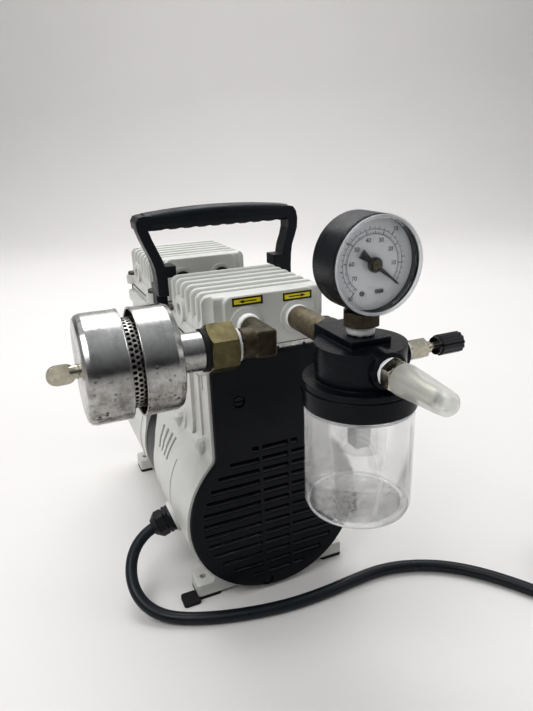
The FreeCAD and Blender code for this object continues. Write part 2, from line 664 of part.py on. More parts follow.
def handle():
    """One moulding: crowned grip, two unlike arms, lugs and feet."""
    right_outer = [(59, 296.6), (62.8, 295.8), (65.4, 292), (66.6, 286), (66, 278), (63.8, 271), (61.2, 264),
                   (60, 256), (59.5, 246), (59.5, 232)]
    right_inner = [(51, 232), (51, 246), (51.8, 256), (53.4, 264), (56, 271), (57.8, 278), (58, 286),
                   (57, 291)]
    left_outer = [(66, 296.6), (69.8, 295.8), (72.2, 292), (71.6, 286), (69, 278), (65.8, 270), (62.5, 262),
                  (60.3, 254), (59.5, 246), (59.5, 232)]
    left_inner = [(51, 232), (51, 246), (51.8, 254), (54, 262), (57.3, 270), (60.6, 278), (63.2, 286),
                  (63, 291)]
    left_arm = mirror_x(handle_arm(left_outer, left_inner))
    return moved(fuse(handle_grip(), handle_arm(right_outer, right_inner), left_arm), dx=HANDLE_MID)


def handle_screws():
    screws = []
    for side in (-1, 1):
        at = V(HANDLE_MID + side * HANDLE_SCREW[0], HANDLE_SCREW[1], 0)
        shank = cylinder(SCREW_R, 18, at + V(0, 0, DECK_Z - 12))
        cap = hexagon(8, 4, at + V(0, 0, DECK_Z + 6), Z)
        screws.append(fuse(shank, cap))
    return screws


# ---- outlet line and silencer ----
def outlet_elbow():
    """Street elbow: threaded tail in the port, body along Y, side outlet towards -X."""
    tail = cylinder(PORT_R, 20.5, V(-PORT_X, ELBOW_START, PORT_Z), Y)
    barrel = cylinder(7.6, ELBOW_START - SIL_Y, V(-PORT_X, SIL_Y, PORT_Z - 0.6), Y)
    corner = box(-PORT_X - 10, -PORT_X + 5, SIL_Y - 9, SIL_Y + 9, SIL_Z - 9, SIL_Z + 9)
    corner = corner.makeFillet(2.2, corner.Edges)
    branch = cylinder(10, 8, V(-PORT_X - 9, SIL_Y, SIL_Z), -X)
    nose = cylinder(9, -HEX_X[1] - PORT_X - 9, V(-PORT_X - 15, SIL_Y, SIL_Z), -X)
    whole = fuse(tail, barrel, corner, branch, nose)
    along = cylinder(4.5, -120 - SIL_Y, V(-PORT_X, SIL_Y, PORT_Z), Y)
    across = cylinder(4.5, 40, V(-PORT_X + 3, SIL_Y, SIL_Z), -X)
    return whole.cut(fuse(along, across))


def outlet_coupling():
    length = HEX_X[1] - HEX_X[0]
    body = hexagon(28.5, length, V(HEX_X[1], SIL_Y, SIL_Z), -X)
    return body.cut(cylinder(9, 30, V(-34, SIL_Y, SIL_Z), -X))


def silencer_ring():
    return ring(13.6, 9, 3, V(HEX_X[0], SIL_Y, SIL_Z), -X)


def silencer_base():
    """Spun cup with its neck, open towards the left."""
    x0, x1 = -BASE_X[1], -BASE_X[0]
    r = CAN_R
    t = CAN_THICK
    neck = 3 - HEX_X[0]
    points = [(neck, 9), (neck, 12.4), (x0 - 1, 12.4), (x0, 13.4), (x0, r - 4.5), (x0 + 1.3, r - 1.3),
              (x0 + 4.5, r), (x1, r), (x1, r - t), (x0 + 4.9, r - t), (x0 + 2, r - 2), (x0 + t, r - 4.9),
              (x0 + t, 9)]
    return revolve(points, V(0, SIL_Y, SIL_Z), -X, Z)


def silencer_cover():
    """Spun cup with a closed end and a hole for the stud."""
    x0, x1 = -COVER_X[1], -COVER_X[0]
    r = CAN_R
    t = CAN_THICK
    points = [(x0, r - t), (x0, r), (x1 - 4.5, r), (x1 - 1.9, r - 0.9), (x1 - 0.5, r - 2.6), (x1, r - 5.4),
              (x1, 3), (x1 - t, 3), (x1 - t, r - 5.6), (x1 - 1.3, r - 3.2), (x1 - 2.4, r - 1.7),
              (x1 - 4.7, r - t)]
    return revolve(points, V(0, SIL_Y, SIL_Z), -X, Z)


def perforated_sleeve():
    """Round screen between the cups, drilled all over its visible band."""
    start, end = BASE_X[1] - 1.3, COVER_X[0] + 1.8
    screen = ring(SLEEVE_MESH_R, SLEEVE_MESH_R - 0.8, start - end, V(start, SIL_Y, SIL_Z), -X)
    drills = []
    around, rows, pitch = 52, 4, 2.7
    for row in range(rows):
        for i in range(around):
            turn = 2 * math.pi * (i + 0.5 * (row % 2)) / around
            out = V(0, math.cos(turn), math.sin(turn))
            at = V((BASE_X[0] + COVER_X[1]) / 2 - pitch * (row - 1.5), SIL_Y, SIL_Z)
            drills.append(cylinder(1.1, 4, at + out * (SLEEVE_MESH_R - 2.5), out))
    return screen.cut(drills)


def filter_element():
    return ring(SLEEVE_MESH_R - 1.2, 12, 51, V(-81, SIL_Y, SIL_Z), -X)


def silencer_stud():
    start = HEX_X[0] - 9
    stud = cylinder(STUD_R, start - COVER_X[0] + STUD_OUT, V(start, SIL_Y, SIL_Z), -X)
    spider = box(start - 1, start, SIL_Y - 8.7, SIL_Y + 8.7, SIL_Z - 2, SIL_Z + 2)
    return fuse(stud, spider)


def wing_nut():
    """Thumb nut: a small hub and one flat upright oval tab."""
    face = COVER_X[0] - 0.3
    hub = cylinder(4.2, 5, V(face, SIL_Y, SIL_Z), -X)
    middle = COVER_X[0] - 9.8
    half_thick, half_high, spread = 1.1, 5.9, 2.3
    lobes = []
    for side in (-1, 1):
        at = V(middle + side * spread, SIL_Y - half_thick, SIL_Z - 0.6)
        lobes.append(cylinder(half_high, 2 * half_thick, at, Y))
    bridge = box(middle - spread, middle + spread, SIL_Y - half_thick, SIL_Y + half_thick,
                 SIL_Z - 0.6 - half_high, SIL_Z - 0.6 + half_high)
    nut = fuse(hub, bridge, *lobes)
    return nut.cut(cylinder(STUD_R + 0.05, STUD_OUT + 5.2, V(COVER_X[0] + 5, SIL_Y, SIL_Z), -X))


# ---- inlet line, trap and bowl ----
def inlet_nipple():
    return ring(PORT_R, 4.5, 58.5, V(PORT_X, -181, PORT_Z), Y)


def inlet_sleeve():
    """Thick brass barrel of the pipe nipple between its two threads."""
    return ring(8.6, PORT_R, 40, V(PORT_X, -178, PORT_Z), Y)


def trap_head():
    """Moulded head: collar, drum, top bar and four port bosses, bored for the bowl."""
    at = V(PORT_X, TRAP_Y, 0)
    collar = cylinder(COLLAR_R, 16, at + V(0, 0, BOWL_TOP + 0.6))
    drum = cylinder(TRAP_R, 25, at + V(0, 0, 212))
    bar = box(PORT_X - 14, PORT_X + 12, TRAP_Y - 13, TRAP_Y + 31, 222, 241.5)
    bosses = [
        cylinder(11, 12, V(PORT_X, TRAP_Y + 38, PORT_Z), -Y),
        cylinder(11, 12, V(PORT_X, TRAP_Y - 30, BARB_Z), Y),
        cylinder(9, BLEED_FACE - 38, V(BLEED_FACE, TRAP_Y, BLEED_Z), -X),
    ]
    groove = ring(COLLAR_R + 1, COLLAR_R - 0.8, 1, at + V(0, 0, BOWL_TOP + 12.2))
    whole = fuse(collar, drum, bar, *bosses)
    room = cylinder(31.6, 12, at + V(0, 0, BOWL_TOP))
    upper_room = cylinder(22, 12, at + V(0, 0, 210.9))
    ports = [
        cylinder(PORT_R, 20, V(PORT_X, TRAP_Y + 38, PORT_Z), -Y),
        cylinder(4.5, 30, V(PORT_X, TRAP_Y + 30, PORT_Z), -Y),
        cylinder(PORT_R, 14, V(PORT_X, TRAP_Y - 30, BARB_Z), Y),
        cylinder(4.5, 16, V(PORT_X, TRAP_Y - 22, BARB_Z), Y),
        cylinder(5, 14, V(BLEED_FACE, TRAP_Y, BLEED_Z), -X),
        cylinder(2, 30, V(BLEED_FACE, TRAP_Y, BLEED_Z), -X),
        cylinder(PORT_R, 8, V(PORT_X, TRAP_Y, 241.5), -Z),
        cylinder(2, 30, V(PORT_X, TRAP_Y, 241.5), -Z),
        cylinder(6, 12, V(PORT_X, TRAP_Y, 222.8), Z),
    ]
    return cut(whole, groove, room, upper_room, *ports)


def bowl_seal():
    return ring(31.4, 28, 0.9, V(PORT_X, TRAP_Y, 210.0))


def trap_bowl():
    """Clear cup with a rounded foot and a narrower neck that enters the collar."""
    r = BOWL_R
    low = BOWL_BOTTOM
    neck_top = 209.7
    t = 2.2
    points = [(low, 0), (low, r - 4.5), (low + 1.3, r - 1.3), (low + 4.5, r), (BOWL_TOP, r),
              (BOWL_TOP, 31.2), (neck_top, 31.2), (neck_top, 29), (BOWL_TOP - 2, r - t),
              (low + 5.5, r - t), (low + 3.4, r - t - 1.2), (low + t, r - t - 3.4), (low + t, 0)]
    return revolve(points, V(PORT_X, TRAP_Y, 0), Z, X)


def trap_baffle():
    """White deflector: a plate under the head with a square-sided drop tube."""
    at = V(PORT_X, TRAP_Y, 0)
    disc = cylinder(21.5, 2, at + V(0, 0, 211.4))
    stem = box(PORT_X - 5, PORT_X + 6, TRAP_Y - 6, TRAP_Y + 6, 170, 212)
    upright = [e for e in stem.Edges if abs(e.tangentAt(e.FirstParameter).z) > 0.9]
    stem = stem.makeFillet(2, upright)
    bore = cylinder(3.5, 60, at + V(0.5, 0, 168))
    return cut(fuse(disc, stem), bore)


# ---- gauge ----
def gauge_stem():
    hex_part = hexagon(20, 8.8, V(PORT_X, TRAP_Y, 247), Z)
    thread = cylinder(PORT_R, 14, V(PORT_X, TRAP_Y, 233.6))
    return fuse(hex_part, thread).cut(cylinder(1.5, 30, V(PORT_X, TRAP_Y, 230)))


def gauge_case():
    """Deep round pan, open at the front, with a square foot over the stem."""
    depth = GAUGE_BACK - GAUGE_FACE
    back = V(PORT_X, GAUGE_BACK, GAUGE_Z)
    r = GAUGE_R
    points = [(0, 0), (0, r - 5), (1.2, r - 2.2), (4, r - 0.4), (depth - 3.6, r - 0.4), (depth - 3.6, r - 2),
              (4.5, r - 2), (2.6, r - 3.6), (2, r - 6), (2, 0)]
    pan = revolve(points, back, -Y, Z)
    foot_block = box(PORT_X - 6, PORT_X + 6, TRAP_Y - 6, TRAP_Y + 6, 255.8, 262)
    inside = cylinder(r - 2, depth, back - Y * 2, -Y)
    return fuse(pan, foot_block.cut(inside))


def gauge_window():
    """Clear press-on window with its turned-down rim."""
    depth = GAUGE_BACK - GAUGE_FACE
    r = GAUGE_R
    points = [(depth - 3.6, r - 2), (depth - 3.6, r), (depth - 0.8, r), (depth, r - 1), (depth, r - 3.2),
              (depth - 1, r - 4.4), (depth - 1, 0), (depth - 2.2, 0), (depth - 2.2, r - 4.4)]
    return revolve(points, V(PORT_X, GAUGE_BACK, GAUGE_Z), -Y, Z)


def gauge_dial():
    return ring(GAUGE_R - 2.2, 1.4, 0.8, V(PORT_X, GAUGE_FACE + 8.2, GAUGE_Z), Y)


def bourdon_tube():
    """C-shaped pressure tube and its socket behind the dial."""
    torus = Part.makeTorus(16, 2.2, V(PORT_X, -216, GAUGE_Z), Y)
    gap = box(PORT_X + 2, PORT_X + 30, -230, -205, GAUGE_Z - 30, GAUGE_Z - 4)
    socket = box(PORT_X - 4, PORT_X + 2, -219.5, -212, 262.2, GAUGE_Z - 12)
    return fuse(torus.cut(gap), socket)


def gauge_movement():
    """Geared movement block with two plates, standing behind the dial."""
    plates = [ring(8, 1.3, 1, V(PORT_X, y, GAUGE_Z), Y) for y in (-222, -214)]
    pillars = []
    for turn in (30, 150, 270):
        a = math.radians(turn)
        at = V(PORT_X + 6 * math.cos(a), -222, GAUGE_Z + 6 * math.sin(a))
        pillars.append(cylinder(1, 9, at, Y))
    return fuse(*plates, *pillars)


def gauge_pointer():
    """Pointer with a wide tail, resting 38 degrees below the right-hand horizontal."""
    y = GAUGE_FACE + 5.6
    upper = [(-11, 2.6), (-4, 1.3), (6, 1.1), (18, 0.45), (20, 0.1)]
    outline = upper + [(x, -z) for x, z in reversed(upper)]
    blade = polygon_xz(outline, y, y + 0.5)
    hub = cylinder(4.2, 1.6, V(0, y - 0.6, 0), Y)
    arbor = cylinder(1.2, 12, V(0, y, 0), Y)
    needle = fuse(blade, hub, arbor)
    needle.rotate(V(0, 0, 0), Y, 38)
    return moved(needle, dx=PORT_X, dz=GAUGE_Z)


# ---- bleed valve and hose barb ----
def bleed_valve_body():
    start = BLEED_FACE + 3
    hex_part = hexagon(11.6, 12.8, V(start, TRAP_Y, BLEED_Z), X)
    thread = cylinder(5, 11, V(start - 11, TRAP_Y, BLEED_Z), X)
    gland = cylinder(3.6, 4, V(start + 12.8, TRAP_Y, BLEED_Z), X)
    return fuse(hex_part, thread, gland).cut(cylinder(2.3, 40, V(start - 16, TRAP_Y, BLEED_Z), X))


def bleed_needle():
    start = BLEED_FACE - 3
    tip = Part.makeCone(0.6, 2.25, 5, V(start, TRAP_Y, BLEED_Z), X)
    stem = cylinder(2.25, KNOB_START + 9 - start, V(start + 5, TRAP_Y, BLEED_Z), X)
    return fuse(stem, tip)


def bleed_knob():
    """Fluted knob with a plain flange next to the valve body."""
    length = KNOB_END - KNOB_START
    grip = cylinder(KNOB_R, length - 4.5, V(KNOB_START + 4.5, TRAP_Y, BLEED_Z), X)
    flutes = []
    for i in range(12):
        turn = math.radians(30 * i)
        out = V(0, math.cos(turn), math.sin(turn))
        flutes.append(cylinder(1.3, length, V(KNOB_START + 4, TRAP_Y, BLEED_Z) + out * (KNOB_R + 0.7), X))
    flange = cylinder(5.6, 3.2, V(KNOB_START + 2.2, TRAP_Y, BLEED_Z), X)
    knob = fuse(grip.cut(flutes), flange)
    return knob.cut(cylinder(2.3, 14, V(KNOB_START, TRAP_Y, BLEED_Z), X))


def hose_barb():
    """Hex-bodied barb pointing to the front."""
    axis = V(PORT_X, 0, BARB_Z)
    hex_part = hexagon(17, 8, axis + Y * BARB_HEX, -Y)
    thread = cylinder(PORT_R, 14, axis + Y * (BARB_HEX + 13.3), -Y)
    start = BARB_HEX - 7.7
    stem = cylinder(4.2, start - BARB_TIP, axis + Y * start, -Y)
    pitch = 4.6
    teeth = [Part.makeCone(5, 4.1, pitch, axis + Y * (start - 6 - pitch * i), -Y) for i in range(5)]
    return fuse(hex_part, thread, stem, *teeth).cut(cylinder(2.8, 70, axis + Y * -230, -Y))


def barb_cap():
    """Soft tapered cap over the barb, closed and rounded at its front."""
    length = CAP_START - CAP_END
    points = [(0, 5.4), (0, 8.9), (2, 9.1), (length - 7, 6.8), (length - 3, 6.2), (length - 1, 4.6),
              (length, 2), (length, 0), (length - 2, 0), (length - 3, 3.6), (length - 8.5, 5.3)]
    return revolve(points, V(PORT_X, CAP_START, BARB_Z), -Y, Z)


def thread_tapes():
    """White sealing tape showing at the seven threaded joints."""
    return [
        ring(7.9, PORT_R, 6.2, V(-PORT_X, ELBOW_START + 1, PORT_Z), Y),
        ring(11.2, 9, 2.8, V(HEX_X[1] + 3, SIL_Y, SIL_Z), -X),
        ring(9.2, PORT_R, 3.4, V(PORT_X, -138, PORT_Z), Y),
        ring(7.6, PORT_R, 2.8, V(PORT_X, -180.9, PORT_Z), Y),
        ring(7.9, PORT_R, 5.3, V(PORT_X, TRAP_Y, 241.55)),
        ring(6.6, 5, 2.9, V(BLEED_FACE + 0.05, TRAP_Y, BLEED_Z), X),
        ring(8.6, PORT_R, 3.1, V(PORT_X, BARB_HEX + 3.2, BARB_Z), -Y),
    ]


# ---- labels ----
def port_labels():
    """Two thin label plates above the ports."""
    plane = -HEAD_OFFSET - PANEL_OUT
    length, height = 22.4, 5.9
    places = ((-17.1, 246.3), (20.7, 245.2))
    labels = []
    for x, z in places:
        labels.append(box(x - length / 2, x + length / 2, plane - 0.3, plane, z - height / 2, z + height / 2))
    return labels


# ---- gland, cord and plug ----
def gland_body():
    out = gland_frame()
    base = V(0, GLAND_Y, CRANK_Z)
    flange = cylinder(11.4, 2.5, base + out * GLAND_SEAT, out)
    thread = cylinder(9, 16.5, base + out * (GLAND_SEAT - 14), out)
    hex_part = hexagon(20, 3.5, base + out * (GLAND_SEAT + 2.5), out, Y)
    return fuse(flange, thread, hex_part).cut(cylinder(CORD_R + 0.6, 60, base + out * (GLAND_SEAT - 20), out))


def gland_nut():
    """Domed sealing nut that grips the cord."""
    out = gland_frame()
    start = V(0, GLAND_Y, CRANK_Z) + out * (GLAND_SEAT + 6)
    nut = hexagon(19.5, 7.5, start, out, Y)
    dome = Part.makeCone(10.4, 6.4, 4.5, start + out * 7.5, out)
    return fuse(nut, dome).cut(cylinder(CORD_R, 40, start - out * 5, out))


def cord_path(route):
    """Straight runs joined by tangent arcs, and the radius of every arc."""
    points = [V(*p) for p in route]
    edges = []
    radii = []
    at = points[0]
    for before, corner, after in zip(points, points[1:], points[2:]):
        a = (before - corner)
        b = (after - corner)
        run = min(a.Length, b.Length)
        back = 0.45 * run
        a.normalize()
        b.normalize()
        turn = math.pi - a.getAngle(b)
        radii.append(back / math.tan(turn / 2))
        start = corner + a * back
        end = corner + b * back
        inward = (a + b)
        inward.normalize()
        radius = radii[-1]
        middle = corner + inward * (radius / math.cos(turn / 2) - radius)
        edges.append(Part.LineSegment(at, start).toShape())
        edges.append(Part.Arc(start, middle, end).toShape())
        at = end
    edges.append(Part.LineSegment(at, points[-1]).toShape())
    return Part.Wire(edges), radii


def power_cord():
    wire, radii = cord_path(CORD_ROUTE)
    first = V(*CORD_ROUTE[1]) - V(*CORD_ROUTE[0])
    circle = Part.Wire(Part.makeCircle(CORD_R, V(*CORD_ROUTE[0]), first))
    tube = wire.makePipeShell([circle], True, False)
    print("cord radii", [round(r) for r in radii])
    print("cord length", round(wire.Length, 1))
    print("cord volume / section x length", round(tube.Volume / (math.pi * CORD_R ** 2 * wire.Length), 4))
    return tube


def cord_coil():
    """Outer shape of the stored turns."""
    return ring(COIL_R + 2 * CORD_R, COIL_R - 2 * CORD_R, 4 * CORD_R, COIL_CENTRE)


def power_plug():
    """Moulded three-pin plug lying beside the coil, in line with its last turn."""
    x, y = COIL_CENTRE.x + COIL_R, COIL_CENTRE.y + PLUG_AHEAD
    length, height = 34, 22
    body = box(x - 12, x + 12, y, y + length, 0, height)
    body = body.makeFillet(4, [e for e in body.Edges if abs(e.tangentAt(e.FirstParameter).y) > 0.9])
    neck = Part.makeCone(6.2, 5.3, 17, V(x, y, height / 2), -Y)
    blades = []
    for dx in (-6.4, 6.4):
        blades.append(box(x + dx - 0.8, x + dx + 0.8, y + length, y + length + 17, 12, 18.5))
    earth = cylinder(2.4, 19, V(x, y + length, 6), Y)
    return fuse(body, neck, *blades, earth)


def build():
    os.makedirs("parts", exist_ok=True)
    front = front_features(crankcase())
    save("front_crankcase", front)
    save("rear_crankcase", mirror_y(crankcase()))
    save_group("foot_pads", foot_pads())
    save("stator_core", stator_core())
    save("stator_windings", stator_windings())
    save("rotor_core", ring(30.6, SHAFT_R, 2 * STATOR_HALF, V(0, -STATOR_HALF, CRANK_Z), Y))
    save("motor_shaft", cylinder(SHAFT_R, 242, V(0, -121, CRANK_Z), Y))
    bearing_at = V(0, -BEARING_WALL - BEARING_WIDTH, CRANK_Z)
    bearing = ring(BEARING_R, SHAFT_R + RUNNING_GAP, BEARING_WIDTH, bearing_at, Y)
    save_group("shaft_bearings", [bearing, mirror_y(bearing)])

    both = {
        "connecting_rod": connecting_rod(),
        "rod_bearing": rod_bearing(),
        "piston_seal": Part.makeCompound([piston_cup(), piston_retainer()]),
        "fan_cover": fan_cover(),
    }
    for name, shape in both.items():
        drop = 0 if name == "fan_cover" else -2 * THROW
        save("front_" + name, shape)
        save("rear_" + name, moved(mirror_y(shape), dz=drop))
    rear_eccentric = mirror_y(eccentric())
    rear_eccentric.rotate(V(0, 0, CRANK_Z), Y, 180)
    save_group("eccentrics", [eccentric(), rear_eccentric])
    grouped = {
        "cooling_fans": fan(),
        "cylinder_sleeves": cylinder_sleeve(),
        "valve_plates": valve_plate(),
        "head_gaskets": head_gasket(),
    }
    for name, shape in grouped.items():
        save_group(name, [shape, mirror_y(shape)])
    reeds = reed_valves()
    save_group("reed_valves", reeds + [mirror_y(r) for r in reeds])
    screws = fan_cover_screws()
    save_group("fan_cover_screws", screws + [mirror_y(s) for s in screws])

    save("front_head", head(PORT_R, True))
    save("rear_head", moved(head(TUBE_R, False), dy=2 * HEAD_OFFSET))
    points = ear_points(-HEAD_OFFSET) + ear_points(HEAD_OFFSET)
    save_group("head_screws", [head_screw(p) for p in points])
    save_group("transfer_tubes", [transfer_tube(-1), transfer_tube(1)])
    save_group("seal_rings", tube_rings() + [bowl_seal(), silencer_ring()])

    save("handle", handle())
    save_group("handle_screws", handle_screws())

    save("outlet_elbow", outlet_elbow())
    save("outlet_coupling", outlet_coupling())
    save("silencer_base", silencer_base())
    save("perforated_sleeve", perforated_sleeve())
    save("filter_element", filter_element())
    save("silencer_stud", silencer_stud())
    save("silencer_cover", silencer_cover())
    save("wing_nut", wing_nut())

    save("inlet_nipple", fuse(inlet_nipple(), inlet_sleeve()))
    save("trap_head", trap_head())
    save("trap_bowl", trap_bowl())
    save("trap_baffle", trap_baffle())
    save("gauge_stem", gauge_stem())
    save("gauge_case", gauge_case())
    save("gauge_window", gauge_window())
    save("gauge_dial", gauge_dial())
    save_group("gauge_movement", [bourdon_tube(), gauge_movement()])
    save("gauge_pointer", gauge_pointer())
    save("bleed_valve_body", bleed_valve_body())
    save("bleed_needle", bleed_needle())
    save("bleed_knob", bleed_knob())
    save("hose_barb", hose_barb())
    save("barb_cap", barb_cap())
    save_group("thread_tapes", thread_tapes())
    save_group("port_labels", port_labels())

    save("cable_gland_body", gland_body())
    save("cable_gland_nut", gland_nut())
    save("power_cord", power_cord())
    save("power_cord_coil", cord_coil())
    save("power_plug", power_plug())


build()
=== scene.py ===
import json
import math
import random

import bmesh
import bpy
from mathutils import Matrix, Vector


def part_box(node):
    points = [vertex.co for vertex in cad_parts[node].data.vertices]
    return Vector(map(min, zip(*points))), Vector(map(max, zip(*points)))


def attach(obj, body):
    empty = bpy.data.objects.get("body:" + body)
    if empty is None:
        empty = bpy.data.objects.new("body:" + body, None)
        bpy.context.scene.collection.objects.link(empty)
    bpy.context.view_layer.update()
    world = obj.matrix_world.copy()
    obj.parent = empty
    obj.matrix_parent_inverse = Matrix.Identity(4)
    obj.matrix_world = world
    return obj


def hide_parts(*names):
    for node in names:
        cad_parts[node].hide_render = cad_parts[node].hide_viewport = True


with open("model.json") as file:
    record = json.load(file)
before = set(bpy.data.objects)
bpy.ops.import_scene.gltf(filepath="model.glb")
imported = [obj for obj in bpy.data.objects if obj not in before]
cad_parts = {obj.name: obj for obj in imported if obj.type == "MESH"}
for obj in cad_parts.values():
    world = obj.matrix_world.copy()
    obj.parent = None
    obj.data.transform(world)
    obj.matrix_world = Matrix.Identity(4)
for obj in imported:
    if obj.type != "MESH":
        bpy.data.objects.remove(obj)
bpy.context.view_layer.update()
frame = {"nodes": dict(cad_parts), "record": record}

# Looks of a twin-head vacuum pump. Metres; X to the right, Y to the back, Z up.
ROOT = "pump_body"
NODES = frame["nodes"]
rng = random.Random(7)


# ---- small helpers ----
def link_mesh(name, mesh, material, body=ROOT):
    piece = bpy.data.objects.new(name, mesh)
    bpy.context.scene.collection.objects.link(piece)
    piece.data.materials.append(material)
    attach(piece, body)
    return piece


def mesh_from_bmesh(name, shape, smooth=True):
    mesh = bpy.data.meshes.new(name)
    bmesh.ops.recalc_face_normals(shape, faces=shape.faces)
    shape.to_mesh(mesh)
    shape.free()
    for face in mesh.polygons:
        face.use_smooth = smooth
    return mesh


def middle(node):
    low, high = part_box(node)
    return (low + high) / 2


def add_disc(shape, centre, axis, radius, length, segments=24):
    """A short solid cylinder about any axis, its middle at centre."""
    turn = Vector(axis).to_track_quat("Z", "Y").to_matrix().to_4x4()
    bmesh.ops.create_cone(shape, cap_ends=True, segments=segments, radius1=radius, radius2=radius,
                          depth=length, matrix=Matrix.Translation(centre) @ turn)


def add_bar(shape, centre, size):
    grow = Matrix.Diagonal((*size, 1.0))
    bmesh.ops.create_cube(shape, size=1.0, matrix=Matrix.Translation(centre) @ grow)


def ring_point(centre, turn, radius, angle, along):
    """A point of a circle about centre, moved along the circle's own axis."""
    return Vector(centre) + turn @ Vector((radius * math.cos(angle), radius * math.sin(angle), along))


def add_torus(shape, centre, axis, radius, tube, around=64, section=8):
    turn = Vector(axis).to_track_quat("Z", "X").to_matrix()
    grid = []
    for i in range(around):
        a = 2 * math.pi * i / around
        row = []
        for k in range(section):
            b = 2 * math.pi * k / section
            at = ring_point(centre, turn, radius + tube * math.cos(b), a, tube * math.sin(b))
            row.append(shape.verts.new(at))
        grid.append(row)
    for i in range(around):
        for k in range(section):
            i2, k2 = (i + 1) % around, (k + 1) % section
            shape.faces.new((grid[i][k], grid[i2][k], grid[i2][k2], grid[i][k2]))


# ---- camera ----
CAMERA_YAW = 22.74        # degrees to the right of straight ahead
CAMERA_PITCH = -19.85
CAMERA_ROLL = -2.0
CAMERA_PLACE = (-0.1564, -0.4953, 0.3464)
CAMERA_LENS = 29.655      # millimetres, for a film 36 mm wide
FILM_WIDTH = 36.0


def photo_camera():
    yaw, pitch, roll = (math.radians(a) for a in (CAMERA_YAW, CAMERA_PITCH, CAMERA_ROLL))
    ahead = Vector((math.sin(yaw) * math.cos(pitch), math.cos(yaw) * math.cos(pitch), math.sin(pitch)))
    level = Vector((math.cos(yaw), -math.sin(yaw), 0))
    upward = level.cross(ahead)
    right = level * math.cos(roll) + upward * math.sin(roll)
    up = -level * math.sin(roll) + upward * math.cos(roll)
    data = bpy.data.cameras.new("camera")
    data.lens = CAMERA_LENS
    data.sensor_width = FILM_WIDTH
    data.clip_start = 0.01
    data.clip_end = 20.0
    camera = bpy.data.objects.new("camera", data)
    turn = Matrix((right, up, -ahead)).transposed().to_4x4()
    camera.matrix_world = Matrix.Translation(CAMERA_PLACE) @ turn
    bpy.context.scene.collection.objects.link(camera)
    bpy.context.scene.camera = camera


photo_camera()


# ---- materials ----
def new_material(name):
    material = bpy.data.materials.new(name)
    material.use_nodes = True
    return material, material.node_tree, material.node_tree.nodes["Principled BSDF"]


def feed(tree, value, socket):
    """Link value if it is a socket, else set it as the socket's own."""
    if isinstance(value, bpy.types.NodeSocket):
        tree.links.new(value, socket)
    else:
        socket.default_value = value


def add(tree, kind, inputs=None, **settings):
    node = tree.nodes.new("ShaderNode" + kind)
    for key, value in settings.items():
        setattr(node, key, value)
    for key, value in (inputs or {}).items():
        feed(tree, value, node.inputs[key])
    return node


def place(tree, scale=(1, 1, 1)):
    """Object coordinates in metres, stretched by scale."""
    where = add(tree, "TexCoord").outputs["Object"]
    return add(tree, "Mapping", {"Vector": where, "Scale": scale}).outputs["Vector"]


def noise(tree, size, detail=3.0, stretch=(1, 1, 1), roughness=0.55):
    inputs = {"Vector": place(tree, stretch), "Scale": 1 / size, "Detail": detail, "Roughness": roughness}
    return add(tree, "TexNoise", inputs).outputs["Fac"]


def spread(tree, value, low, high, out_low=0.0, out_high=1.0):
    inputs = {"Value": value, "From Min": low, "From Max": high, "To Min": out_low, "To Max": out_high}
    return add(tree, "MapRange", inputs).outputs["Result"]


def mix(tree, amount, first, second):
    node = add(tree, "Mix", data_type="RGBA")
    for index, value in ((0, amount), (6, first), (7, second)):
        feed(tree, value, node.inputs[index])
    return node.outputs[2]


def times(tree, first, second):
    node = add(tree, "Math", operation="MULTIPLY", use_clamp=True)
    for socket, value in zip(node.inputs, (first, second)):
        feed(tree, value, socket)
    return node.outputs[0]


def rounded_normal(tree, radius):
    return add(tree, "Bevel", {"Radius": radius}, samples=4).outputs["Normal"]


def edge_mask(tree, radius):
    """1 on convex and concave edges, 0 on flats."""
    soft = rounded_normal(tree, radius)
    hard = add(tree, "NewGeometry").outputs["Normal"]
    dot = add(tree, "VectorMath", {0: soft, 1: hard}, operation="DOT_PRODUCT").outputs["Value"]
    return spread(tree, dot, 0.995, 0.80)


def shade(colour, factor):
    return tuple(min(1.0, c * factor) for c in colour[:3]) + (1.0,)


ROUGH_SPREAD = 0.12       # how far a finish's roughness wanders to either side
COAT_ROUGHNESS = 0.15


